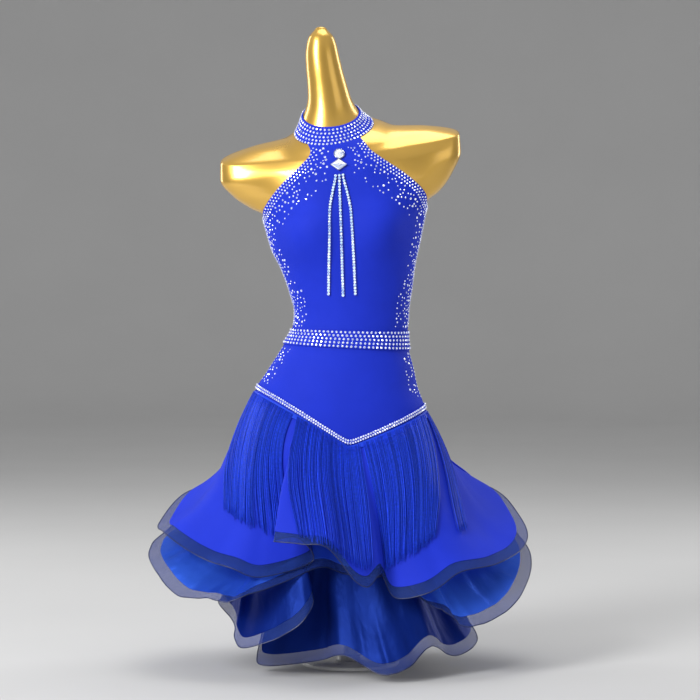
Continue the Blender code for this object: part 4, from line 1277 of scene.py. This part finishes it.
def build_stand():
    """Round base with a boss, and a pole with a flange under the form."""
    low, high = BASE_BOX
    centre = ((low.x + high.x) / 2, (low.y + high.y) / 2)
    at = (centre[0], centre[1], 0.0)
    add_drum("round_base", 96, (high.x - low.x) / 2, low.z, high.z - BASE_LIP, centre)
    step_up(BASE_LIP, 0.93, at)
    bpy.ops.mesh.inset(thickness=BOSS_INSET)
    step_up(BOSS_RISE, 0.78, at)
    base = leave_edit()
    soften(base, 0.0012, 3)
    stands_for(dress_up(base, "white_enamel"), "stand_base")

    low, high = POLE_BOX
    radius = (high.x - low.x) / 2
    add_drum("pole", 48, radius, low.z, high.z - FLANGE_RISE, centre)
    for rise, share in POLE_STEPS:
        step_up(rise, share, at)
    pole = leave_edit()
    soften(pole, 0.0006, 2)
    stands_for(dress_up(pole, "white_enamel"), "stand_pole")


def fitted_cloth(name, angles, heights, edges, node):
    """Panel of fitted cloth over a grid of angles and heights whose rows run down. edges
    is how far each point lies from an edge that turns in to the form."""
    side = np.linspace(-1, 1, angles.shape[1])[None]
    ease = armhole_ease(side, heights) if name == "bodice_front_cloth" else 0.0
    sizes = bpy.context.scene.dress_sizes
    turned = EDGE_TURN * np.exp(-(edges / EDGE_REACH) ** 2)
    under_belt = smooth_step(0.010, 0.022, np.abs(heights - sum(BELT) / 2))
    crease = dent(angles, heights) * under_belt
    outer = body_point(angles, heights, ease - turned + crease)
    inner = body_point(angles, heights, ease - turned + crease - sizes.jersey_wall)
    piece = shell(name, outer, inner, False, look_of("stretch_jersey"))
    stands_for(piece, node)


def build_bodice():
    """Halter front cut away at the armholes, and the low back."""
    side = np.linspace(-1, 1, PANEL_COLUMNS)[None]
    level = rows_between((YOKE_TOP, 0.80, 50), (0.80, FRONT_TOP, 60))[::-1]
    drop = np.linspace(0, 1, YOKE_ROWS + 1)[1:, None]
    yoke = YOKE_TOP + (hip_line(90 * side) + PANEL_LIFT - YOKE_TOP) * drop
    heights = np.concatenate((np.broadcast_to(level[:, None], (len(level), PANEL_COLUMNS)), yoke))
    edge = armhole_angle(level)[:, None]
    edge = np.concatenate((np.broadcast_to(edge, (len(level), 1)),
                           np.full((YOKE_ROWS, 1), 90.0)))
    angles = side * edge
    around = (1 - np.abs(side)) * np.radians(edge) * ARMHOLE_RADIUS
    around = np.where(heights > ARMHOLES[0].height, around, 1.0)
    top = FRONT_TOP - heights
    fitted_cloth("bodice_front_cloth", angles, heights, np.minimum(around, top),
                 "bodice_front")

    angles = np.linspace(90, 270, PANEL_COLUMNS)[None]
    share = np.linspace(0, 1, 80)[:, None]
    top = back_top(angles)
    heights = top + (YOKE_TOP - top) * share
    yoke = YOKE_TOP + (hip_line(angles) + PANEL_LIFT - YOKE_TOP) * drop
    heights = np.concatenate((heights, yoke))
    angles = np.broadcast_to(angles, heights.shape)
    fitted_cloth("bodice_back_cloth", angles, heights, top - heights,
                 "bodice_back")


def band(name, low, high, out, wall, node, columns=288):
    """Band closed round the body between two height functions of the angle, with softly
    rounded edges, from a straight strip of cloth."""
    angles = np.linspace(-180, 180, columns + 1)[:-1][None]
    share = np.linspace(1, 0, 9)[:, None]
    heights = low(angles) + (high(angles) - low(angles)) * share
    rounded = wall * 0.45 * np.abs(2 * share - 1) ** 6
    outer = body_point(angles, heights, out + wall - rounded)
    inner = body_point(angles, heights, np.full_like(heights, out))
    piece = shell(name, outer, inner, True, look_of("stretch_jersey"))
    stands_for(piece, node)


def band_places(height, out, pitch, start):
    """Angles at an even pitch along a line round the body."""
    angles = np.linspace(-180, 180, 1441)
    path = body_point(angles, height(angles), out)
    lengths = path_lengths(path)
    count = int(round(lengths[-1] / pitch))
    at = (np.arange(count) + start) * lengths[-1] / count
    return np.interp(at, lengths, angles)


def seats_at(angles, heights, out):
    """Points and normals of the fitted surface, moved out by a distance."""
    around, upwards = body_slopes(angles, heights)
    normals = unit(np.cross(around, upwards))
    return body_point(angles, heights) + normals * np.reshape(out, (-1, 1)), normals


def join_places(parts):
    return tuple(np.concatenate(column) for column in zip(*parts))


def stone_pattern():
    """Small faceted stone with a flat table."""
    return take_pattern(cut_stone("small_stone", 8, 0.30, ((0.42, 0.56),)))


def band_stones(name, low, high, lines, out, pitch, radius, look):
    """Staggered rows of stones round a band."""
    parts = []
    for k, share in enumerate(lines):
        def height(angle, share=share):
            return low(angle) + (high(angle) - low(angle)) * share
        angles = band_places(height, out, pitch, 0.5 * (k % 2))
        parts.append(seats_at(angles, height(angles), np.full(len(angles), out)))
    places = join_places(parts)
    seed = random.Random(name)
    spin = np.array([seed.uniform(0, 0.8) for _ in places[0]])
    piece = copy_along(name, stone_pattern(), places, (radius, radius * STONE_RISE), look_of(look),
                       spin)
    return piece


def build_band(row):
    """Band of cloth with its rows of stones."""
    def low(angle):
        return hip_line(angle) if row.low is None else row.low + 0 * angle

    def high(angle):
        return low(angle) + TRIM_WIDTH if row.high is None else row.high + 0 * angle

    size = getattr(bpy.context.scene.dress_sizes, row.size) / 2
    band(row.name + "_cloth", low, high, row.inset, row.wall, row.node,
         row.columns)
    band_stones(row.name + "_stones", low, high, row.lines, row.stones_at, row.pitch, size,
                "white_stones")


# ---------------------------------------------------------------- skirt
def layer_places(layer, per_row):
    return np.arange(len(layer.hem) * per_row)[None] / per_row


def build_layer(layer, look, wall):
    """One flared layer, from under the hip seam down to its braid."""
    place = layer_places(layer, PER_ROW)
    end = braid_fall(layer)
    fall = (np.linspace(0, 1, LAYER_ROWS) ** 0.92 * end)[:, None]
    outer = skirt_point(layer, place, fall)
    inner = skirt_point(layer, place, fall, -wall)
    if layer.drop == 0:
        hip = hem_at(layer.hem, place[0]).hip
        above = np.array((0.0050, 0.0025, 0.0))[:, None]
        heights = hip_line(hip)[None] - SKIRT_DROP + above + 0.0006
        tuck = np.array((-0.0020, -0.0017, -0.0008))[:, None]
        outer = np.concatenate((body_point(hip[None], heights, tuck), outer))
        inner = np.concatenate((body_point(hip[None], heights, tuck - wall), inner))
    piece = shell(layer.name + "_cloth", outer, inner, True, look_of(look))
    return stands_for(piece, layer.name)


def build_braid(layer):
    """Stiff braid along a layer's hem, with a twisted edge."""
    name = layer.name.replace("skirt", "braid")
    place = layer_places(layer, PER_ROW)
    start = braid_fall(layer)
    lap = (1 - start) * BRAID_LAP / BRAID_WIDTH
    fall = np.linspace(start - lap, 1, 9)[:, None]
    outer = skirt_point(layer, place, fall, -CLOTH / 2 + BRAID_WALL / 2)
    inner = skirt_point(layer, place, fall, -CLOTH / 2 - BRAID_WALL / 2)
    piece = shell(name + "_band", outer, inner, True, look_of("horsehair_braid"))
    stands_for(piece, name)

    place = layer_places(layer, EDGE_PER_ROW)[0]
    edge = skirt_point(layer, place, 1.0 + 0 * place, -CLOTH / 2)
    rings = tube_grid(edge, BRAID_EDGE / 2, 6, UP)
    rows, columns = rings.shape[:2]
    faces = []
    for r in range(rows):
        for c in range(columns):
            a, b = r * columns, (r + 1) % rows * columns
            faces.append((a + c, b + c, b + (c + 1) % columns, a + (c + 1) % columns))
    cord = make_piece(name + "_edge", rings.reshape(-1, 3), faces, look_of("braid_piping"))
    return [piece, cord]


def strand_table(seed, pitch):
    """Root and tip angles of the strands, evenly spaced round the hips and a little
    unruly."""
    turns = np.radians(np.arange(0, 360, pitch) - 180)
    cut = section_at(HIP_SIDE)
    depth = (cut.front + cut.back) / 2
    angles = np.degrees(np.arctan2(cut.half_width * np.sin(turns), depth * np.cos(turns)))
    strands = []
    for angle in angles:
        for bunch in BUNCHES:
            span = bunch.root_end - bunch.root_start
            share = ((angle - bunch.root_start) % 360) / span
            if share <= 1:
                stray = seed.gauss(0, 0.30) + (seed.gauss(0, 2.2) if seed.random() < 0.06 else 0)
                tip = bunch.tip_start + (bunch.tip_end - bunch.tip_start) * share + stray
                strands.append((bunch.root_start + span * share, tip))
                break
    return np.array(strands)


def build_fringe(layer):
    """Backing strip round the hips with fine strands over the outer skirt."""
    sizes = bpy.context.scene.dress_sizes
    seed = random.Random(31)
    points, faces, levels = [], [], []
    base = 0
    for lift, start in STRAND_LAYERS:
        strands = strand_table(seed, sizes.fringe_pitch)
        count = len(strands)
        lifts = np.array([lift + seed.uniform(-0.0004, 0.0006) for _ in strands])[:, None]
        reach = np.array([sizes.fringe_length + seed.gauss(0, 0.0035) for _ in strands])
        roots, tips = strands[:, :1] + start * sizes.fringe_pitch, strands[:, 1:]
        fall = np.linspace(FRINGE_ROOT, 1.0, 60)[None]

        def along(fall, lift):
            hips = roots + (tips - roots) * fall
            place = place_at(layer.hem, hips)
            return skirt_point(layer, place, fall + 0 * hips, lift + 0 * hips)

        path = along(fall, lifts)
        steps = np.linalg.norm(np.diff(path, axis=1), axis=-1)
        lengths = np.concatenate((np.zeros((count, 1)), np.cumsum(steps, axis=1)), axis=1)
        ends = np.array([np.interp(r, row, fall[0]) for r, row in zip(reach, lengths)])
        share = np.linspace(0, 1, STRAND_RINGS)[None]
        falls = FRINGE_ROOT + (ends[:, None] - FRINGE_ROOT) * share
        swell = lifts + 0.0012 * share ** 1.5
        path = along(falls, swell)
        down = unit(np.gradient(path, axis=1))
        above = along(falls, swell + 0.001) - path
        side = unit(np.cross(down, above))
        out = np.cross(side, down)
        thick = STRAND_RADIUS * (1 - STRAND_TAPER * share ** 3)[..., None]
        rings = []
        for turn in STRAND_CORNERS:
            rings.append(path + thick * (side * math.cos(turn) + out * math.sin(turn)))
        rings = np.stack(rings, axis=2).reshape(-1, 3)
        points.append(rings)
        for s in range(count):
            shade = seed.random()
            levels += [shade] * (STRAND_RINGS * 3)
            faces += tube_faces(STRAND_RINGS, 3, base + s * STRAND_RINGS * 3)
        base += len(rings)
    piece = make_piece("fringe_strands", np.concatenate(points), faces,
                       look_of("rayon_thread"), sharp=180.0)
    give_attribute(piece, "strand", levels)
    stands_for(piece, "fringe")

    place = layer_places(layer, PER_ROW)
    fall = np.linspace(0.004, FRINGE_HEADING, 5)[:, None]
    outer = skirt_point(layer, place, fall, 0.0024)
    inner = skirt_point(layer, place, fall, 0.0008)
    heading = shell("fringe_heading", outer, inner, True, look_of("rayon_thread"))
    give_attribute(heading, "strand", np.full(len(heading.data.vertices), 0.4))
    return [piece, heading]


def build_skirt():
    """The three layers with their braids, and the fringe over them."""
    sizes = bpy.context.scene.dress_sizes
    # The petticoat takes the darkened satin, painted shade.
    for layer, look, wall in zip(LAYERS, ("stretch_jersey", "bright_satin", "deep_satin"),
                                 (sizes.jersey_wall, sizes.satin_wall, sizes.satin_wall)):
        cloth = build_layer(layer, look, wall)
        along = build_braid(layer)
        if layer is LAYERS[0]:
            along += build_fringe(layer)


# ---------------------------------------------------------------- jewels
def chain_line(chain, height):
    middle = hermite(CHAIN_HEIGHTS[::-1], (chain.end, chain.bend, chain.top), height)
    return angle_at(middle, height)


def build_chains():
    """Three cup chains of stones down the bodice front."""
    for chain in CHAINS:
        heights = np.linspace(CHAIN_HEIGHTS[0] + CHAIN_TUCK, CHAIN_HEIGHTS[2], 400)
        angles = chain_line(chain, heights)
        path, _ = seats_at(angles, heights, np.full(400, 0.0007))
        lengths = path_lengths(path)
        count = int(lengths[-1] / CHAIN_PITCH)
        at = CHAIN_PITCH * (np.arange(count) + 0.5)
        up = np.interp(at, lengths, heights)
        places = seats_at(np.interp(at, lengths, angles), up, np.full(count, 0.0010))
        cup = take_pattern(chain_cup())
        cups = copy_along(chain.name + "_cups", cup, places, CUP_SIZE,
                          look_of("silver_settings"), 0.0, 30.0)
        stands_for(cups, chain.name)
        raised = (places[0] + places[1] * 0.0008, places[1])
        stones = copy_along(chain.name + "_stones", stone_pattern(), raised,
                            CHAIN_STONE, look_of("ice_stones"), 0.2)
        covered = path[lengths < CHAIN_PITCH * (count - 0.3)]
        ribbon = tube_grid(covered, LINK_RADIUS, 6, np.array((0.0, -1.0, 0.3)))
        link = make_piece(chain.name + "_links", ribbon.reshape(-1, 3),
                          tube_faces(*ribbon.shape[:2]), look_of("silver_settings"))


def chain_cup():
    """Small metal cup that holds a stone: a drum with a rim and a hollow."""
    add_drum("chain_cup", 10, 1.0, 0.0, 1.0)
    hollow(0.16, 0.45)
    return leave_edit()


def seat_frame(x, height, out):
    """Matrix at a place of the bodice front: X to the right, Y up the cloth, Z outwards."""
    angle = angle_at(np.array([x]), np.array([height]))
    seat, normal = seats_at(angle, np.array([height]), out)
    normal = Vector(normal[0])
    right = Vector((1, 0, 0))
    right = (right - normal * right.dot(normal)).normalized()
    turn = Matrix((right, normal.cross(right), normal)).transposed().to_4x4()
    return Matrix.Translation(Vector(seat[0])) @ turn


def build_pendant(name, sides, across, down, x, height, node, claws):
    """Large cut stone in a metal setting with claws."""
    frame_at = seat_frame(x, height, 0.0016)
    stone = cut_stone(name + "_crystal", sides, 0.22, PENDANT_STEPS)
    size = Matrix.Diagonal((across / 2 - 0.001, down / 2 - 0.001, PENDANT_RISE, 1))
    stone.data.transform(frame_at @ Matrix.Translation((0, 0, 0.0006)) @ size)
    # Random brightness for the stone's facets, shown as painted glints.
    give_facet_glints(stone)
    stands_for(dress_up(stone, "white_stones"), node)

    add_drum(name + "_setting", sides, 1.0, 0.0, 0.30)
    hollow(0.07, 0.2)
    setting = leave_edit()
    size = Matrix.Diagonal((across / 2 + 0.0006, down / 2 + 0.0006, PENDANT_RISE, 1))
    setting.data.transform(frame_at @ size)
    dress_up(setting, "silver_settings")

    add_drum(name + "_claw", 8, 1.0, 0.0, 0.9)
    step_up(0.25, 0.55, (0, 0, 1.15))
    claw = take_pattern(leave_edit())
    turns = [math.pi * 2 * k / claws for k in range(claws)]
    spots = [frame_at @ Vector((math.cos(t) * across / 2 * 0.96, math.sin(t) * down / 2 * 0.96,
                                0.0)) for t in turns]
    normal = np.array(frame_at.col[2][:3])
    places = (np.array([tuple(s) for s in spots]), np.tile(normal, (claws, 1)))
    held = copy_along(name + "_claws", claw, places, CLAW_SIZE,
                      look_of("silver_settings"), 0.0, 30.0)


def build_pendants():
    """The two large stones that hang from the neckband."""
    for row in PENDANTS:
        build_pendant(*row)


def edge_path(side, edge, angle):
    """Angles and heights along an edge. No angle stands for a share of the armhole's."""
    heights = np.linspace(edge.low, edge.high, edge.samples)
    if angle is None:
        return side * armhole_angle(heights) * edge.share, heights
    return side * angle + 0 * heights, heights


def edge_walk(angles, heights, side):
    """Length of an edge that runs up, and a function from distances along it to places
    there and unit steps away from it."""
    points, normals = seats_at(angles, heights, np.zeros(len(angles)))
    inward = unit(np.cross(normals, unit(np.gradient(points, axis=0)))) * side
    lengths = path_lengths(points)

    def walk(at):
        here = [np.interp(at, lengths, values) for values in (angles, heights)]
        return here, np.stack([np.interp(at, lengths, inward[:, c]) for c in range(3)], -1)

    return lengths[-1], walk


def rows_along(angles, heights, side, insets, pitch):
    """Places of stones in staggered rows along an edge, at distances in from it."""
    length, walk = edge_walk(angles, heights, side)
    found = []
    for k, inset in enumerate(insets):
        here, step = walk(np.arange(pitch * (0.5 + 0.5 * (k % 2)), length, pitch))
        found.append(body_walk(*here, step * inset))
    return found


def loose_along(angles, heights, side, scatter, seed):
    """Places of loose stones that thin out away from an edge."""
    length, walk = edge_walk(angles, heights, side)
    at = np.array([seed.random() * length for _ in range(scatter.count)])
    inset = np.array([min(scatter.reach, 0.010 + seed.expovariate(1 / scatter.spread))
                      for _ in range(scatter.count)])
    here, step = walk(at)
    for _ in range(4):
        here = body_walk(*here, step * inset[:, None] / 4)
    return here


def well_spaced(points, apart, count_first):
    """Which of the points after the first ones keep their distance from all kept ones."""
    keep = list(range(count_first))
    for k in range(count_first, len(points)):
        gaps = np.linalg.norm(points[keep] - points[k], axis=1)
        if gaps.min() > apart:
            keep.append(k)
    return keep


def build_loose_stones():
    """Stones in rows and scattered along the armholes, side seams, neck, waist and back."""
    seed = random.Random(5)
    rows, loose = [], []
    for side in (-1, 1):
        for edge in STONE_EDGES:
            if edge.insets:
                rows += rows_along(*edge_path(side, edge, edge.row_angle), side, edge.insets,
                                   edge.pitch)
            loose.append(loose_along(*edge_path(side, edge, edge.loose_angle), side,
                                     edge.scatter, seed))
    across = np.linspace(92, 268, 300)
    top = back_top(across)
    rows += rows_along(across, top, -1, BACK_INSETS, BACK_PITCH)
    loose.append(loose_along(across, top, -1, BACK_SCATTER, seed))
    angles = np.concatenate([part[0] for part in rows + loose])
    heights = np.concatenate([part[1] for part in rows + loose])
    fixed = sum(len(part[0]) for part in rows)
    side = np.clip(angles / np.maximum(armhole_angle(heights), 1), -1, 1)
    front = (np.cos(np.radians(angles)) > 0) & (np.abs(angles) < 180)
    ease = np.where(front, armhole_ease(side, heights), 0)
    places = seats_at(angles, heights, ease - 0.0002)
    pendant = np.array(seat_frame(*PENDANT_SPOT, 0.0).translation)
    keep = [k for k in well_spaced(places[0], LOOSE_GAP, fixed)
            if np.linalg.norm((places[0][k] - pendant) * (1, 0.2, 0.8)) > PENDANT_CLEAR
            and heights[k] < BODICE_TOP - 0.003]
    places = (places[0][keep], places[1][keep])
    small = bpy.context.scene.dress_sizes.loose_stone / 2
    radii = np.array([small * (seed.uniform(0.95, 1.05) if k < fixed
                               else seed.choice((0.75, 0.85, 0.9, 1.0, 1.0, 1.35)))
                      for k in keep])
    spin = np.array([seed.uniform(0, 0.8) for _ in keep])
    piece = copy_along("scattered_stones", stone_pattern(), places, (radii, radii * STONE_RISE),
                       look_of("white_stones"), spin)


# ---------------------------------------------------------------- studio
def build_stage():
    """Pale studio dish, soft lights and the camera."""
    radii = [0.0, 2.0, 4.0] + [FLOOR_RADIUS + FLOOR_CURVE * math.sin(turn)
                               for turn in np.linspace(0, math.pi / 2, 12)]
    rises = [0.0, 0.0, 0.0] + [FLOOR_CURVE * (1 - math.cos(turn))
                               for turn in np.linspace(0, math.pi / 2, 12)]
    radii.append(radii[-1])
    rises.append(WALL_HEIGHT)
    turns = np.linspace(0, 2 * math.pi, 97)[:-1]
    points = [(0.0, 0.0, -FLOOR_DROP)]
    for radius, rise in list(zip(radii, rises))[1:]:
        points += [(radius * math.cos(t), radius * math.sin(t), rise - FLOOR_DROP)
                   for t in turns]
    count = len(turns)
    faces = [(0, 1 + j, 1 + (j + 1) % count) for j in range(count)]
    for ring in range(len(radii) - 2):
        first = 1 + ring * count
        for j in range(count):
            k = (j + 1) % count
            faces.append((first + j, first + count + j, first + count + k, first + k))
    mesh = bpy.data.meshes.new("studio_floor")
    mesh.from_pydata(points, [], faces)
    mesh.materials.append(look_of("studio_floor"))
    mesh.shade_smooth()
    floor = bpy.data.objects.new("studio_floor", mesh)
    bpy.context.scene.collection.objects.link(floor)

    for light in LIGHTS:
        data = bpy.data.lights.new(light.name, "AREA")
        data.shape = "RECTANGLE"
        data.size, data.size_y = light.size
        data.energy = light.power
        lamp = bpy.data.objects.new(light.name, data)
        lamp.location = light.place
        aim = Vector(light.aim) - Vector(light.place)
        lamp.rotation_euler = aim.to_track_quat("-Z", "Y").to_euler()
        lamp.visible_camera = False
        bpy.context.scene.collection.objects.link(lamp)

    world = bpy.data.worlds.new("studio_air")
    world.use_nodes = True
    air = world.node_tree.nodes["Background"]
    air.inputs["Color"].default_value = (1, 1, 1, 1)
    air.inputs["Strength"].default_value = AIR_STRENGTH
    scene = bpy.context.scene
    scene.world = world
    scene.view_settings.view_transform = "Standard"

    lens = bpy.data.cameras.new("studio_camera")
    lens.sensor_width = SENSOR_WIDTH
    lens.lens = LENS
    camera = bpy.data.objects.new("studio_camera", lens)
    camera.location = CAMERA_PLACE
    aim = Vector(CAMERA_AIM) - camera.location
    camera.rotation_euler = aim.to_track_quat("-Z", "Y").to_euler()
    scene.collection.objects.link(camera)
    scene.camera = camera


# ---------------------------------------------------------------- settings
def distance(name, description, value, low, high):
    return bpy.props.FloatProperty(name=name, description=description, default=value,
                                   min=low, max=high, unit="LENGTH", subtype="DISTANCE")


def tint(name, description, value):
    return bpy.props.FloatVectorProperty(name=name, description=description, default=value,
                                         size=3, min=0.0, max=1.0, subtype="COLOR")


class DressSizes(bpy.types.PropertyGroup):
    """Sizes that a maker would change."""
    jersey_wall: distance("Jersey wall", "Thickness of the matt stretch cloth", 0.0013,
                          0.0005, 0.002)
    satin_wall: distance("Satin wall", "Thickness of the satin layers", 0.0011, 0.0005, 0.002)
    fringe_length: distance("Fringe length", "Longest strand, below the hip seam", 0.232,
                            0.05, 0.26)
    neck_stone: distance("Neckband stone", "Width of each stone on the neckband", 0.0042,
                         0.002, 0.006)
    belt_stone: distance("Belt stone", "Width of each stone on the belt", 0.0042, 0.002,
                         0.007)
    trim_stone: distance("Trim stone", "Width of each stone along the hip seam", 0.0038,
                         0.002, 0.006)
    loose_stone: distance("Loose stone", "Width of the scattered stones", 0.0032, 0.002,
                          0.006)
    fringe_pitch: bpy.props.FloatProperty(name="Fringe pitch",
                                          description="Turn from one strand to the next, "
                                          "in degrees",
                                          default=0.85, min=0.5, max=4.0)


class DressColours(bpy.types.PropertyGroup):
    """Colours that a maker would change."""
    jersey: tint("Jersey", "Matt stretch cloth", (0.013, 0.036, 0.600))
    satin: tint("Satin", "Satin of the layer under the skirt", (0.034, 0.125, 0.800))
    # Petticoat colour: the satin darkened as painted shade, for the layer that hangs in the shade of
    # the skirts above.
    petticoat: tint("Petticoat", "Darker satin of the lowest layer", (0.004, 0.017, 0.175))
    fringe: tint("Fringe", "Rayon strands", (0.018, 0.062, 0.760))
    braid: tint("Braid", "See-through horsehair braid", (0.018, 0.045, 0.260))
    gold: tint("Gold", "Lacquer of the form", (0.780, 0.470, 0.090))
    enamel: tint("Enamel", "Base and pole", (0.780, 0.780, 0.760))


# ---------------------------------------------------------------- operators
class MakesPieces:
    """What the operators share."""
    bl_options = {"REGISTER", "UNDO"}


class DRESS_OT_form(bpy.types.Operator, MakesPieces):
    """Smooth limbless torso that the dress is shown on"""
    bl_idname = "dress.form"
    bl_label = "Dress form"

    def execute(self, context):
        build_form()
        return {"FINISHED"}


class DRESS_OT_stand(bpy.types.Operator, MakesPieces):
    """Round base and pole under the form"""
    bl_idname = "dress.stand"
    bl_label = "Stand"

    def execute(self, context):
        build_stand()
        return {"FINISHED"}


class DRESS_OT_bodice(bpy.types.Operator, MakesPieces):
    """Halter front and low back in matt stretch cloth"""
    bl_idname = "dress.bodice"
    bl_label = "Bodice"

    def execute(self, context):
        build_bodice()
        return {"FINISHED"}


class DRESS_OT_neckband(bpy.types.Operator, MakesPieces):
    """Collar band with rows of stones"""
    bl_idname = "dress.neckband"
    bl_label = "Neckband"

    def execute(self, context):
        build_band(BANDS["neckband"])
        return {"FINISHED"}


class DRESS_OT_belt(bpy.types.Operator, MakesPieces):
    """Belt with rows of stones, sewn round the waist"""
    bl_idname = "dress.belt"
    bl_label = "Waist belt"

    def execute(self, context):
        build_band(BANDS["belt"])
        return {"FINISHED"}


class DRESS_OT_skirt(bpy.types.Operator, MakesPieces):
    """Three flared layers with their braids, and the fringe"""
    bl_idname = "dress.skirt"
    bl_label = "Skirt and fringe"

    def execute(self, context):
        build_skirt()
        return {"FINISHED"}


class DRESS_OT_hip_trim(bpy.types.Operator, MakesPieces):
    """Double row of stones along the hip seam"""
    bl_idname = "dress.hip_trim"
    bl_label = "Hip trim"

    def execute(self, context):
        build_band(BANDS["hip_trim"])
        return {"FINISHED"}


class DRESS_OT_chains(bpy.types.Operator, MakesPieces):
    """Three chains of cupped stones down the front"""
    bl_idname = "dress.chains"
    bl_label = "Stone chains"

    def execute(self, context):
        build_chains()
        return {"FINISHED"}


class DRESS_OT_pendants(bpy.types.Operator, MakesPieces):
    """Round and square crystals below the neckband"""
    bl_idname = "dress.pendants"
    bl_label = "Pendants"

    def execute(self, context):
        build_pendants()
        return {"FINISHED"}


class DRESS_OT_loose_stones(bpy.types.Operator, MakesPieces):
    """Stones along the edges of the bodice"""
    bl_idname = "dress.loose_stones"
    bl_label = "Scattered stones"

    def execute(self, context):
        build_loose_stones()
        return {"FINISHED"}


class DRESS_OT_stage(bpy.types.Operator, MakesPieces):
    """Pale floor, soft lights and the camera"""
    bl_idname = "dress.stage"
    bl_label = "Studio"

    def execute(self, context):
        build_stage()
        return {"FINISHED"}


OPERATORS = (
    DRESS_OT_form,
    DRESS_OT_stand,
    DRESS_OT_bodice,
    DRESS_OT_neckband,
    DRESS_OT_belt,
    DRESS_OT_skirt,
    DRESS_OT_hip_trim,
    DRESS_OT_chains,
    DRESS_OT_pendants,
    DRESS_OT_loose_stones,
    DRESS_OT_stage,
)


class DRESS_PT_sidebar(bpy.types.Panel):
    """Settings and buttons of the dress."""
    bl_idname = "DRESS_PT_sidebar"
    bl_label = "Salsa Dance Dress"
    bl_space_type = "VIEW_3D"
    bl_region_type = "UI"
    bl_category = "Dance Dress"

    def draw(self, context):
        for group in (context.scene.dress_sizes, context.scene.dress_colours):
            box = self.layout.box()
            for key in group.__annotations__:
                box.prop(group, key)
        for operator in OPERATORS:
            self.layout.operator(operator.bl_idname)


CLASSES = (DressSizes, DressColours, *OPERATORS, DRESS_PT_sidebar)


def register():
    for kind in CLASSES:
        bpy.utils.register_class(kind)
    bpy.types.Scene.dress_sizes = bpy.props.PointerProperty(type=DressSizes)
    bpy.types.Scene.dress_colours = bpy.props.PointerProperty(type=DressColours)


def unregister():
    del bpy.types.Scene.dress_colours
    del bpy.types.Scene.dress_sizes
    for kind in reversed(CLASSES):
        bpy.utils.unregister_class(kind)


def main():
    """Builds the whole dress on its form."""
    register()
    bpy.ops.dress.form()
    bpy.ops.dress.stand()
    bpy.ops.dress.bodice()
    bpy.ops.dress.neckband()
    bpy.ops.dress.belt()
    bpy.ops.dress.skirt()
    bpy.ops.dress.hip_trim()
    bpy.ops.dress.chains()
    bpy.ops.dress.pendants()
    bpy.ops.dress.loose_stones()
    bpy.ops.dress.stage()


if __name__ == "__main__":
    main()
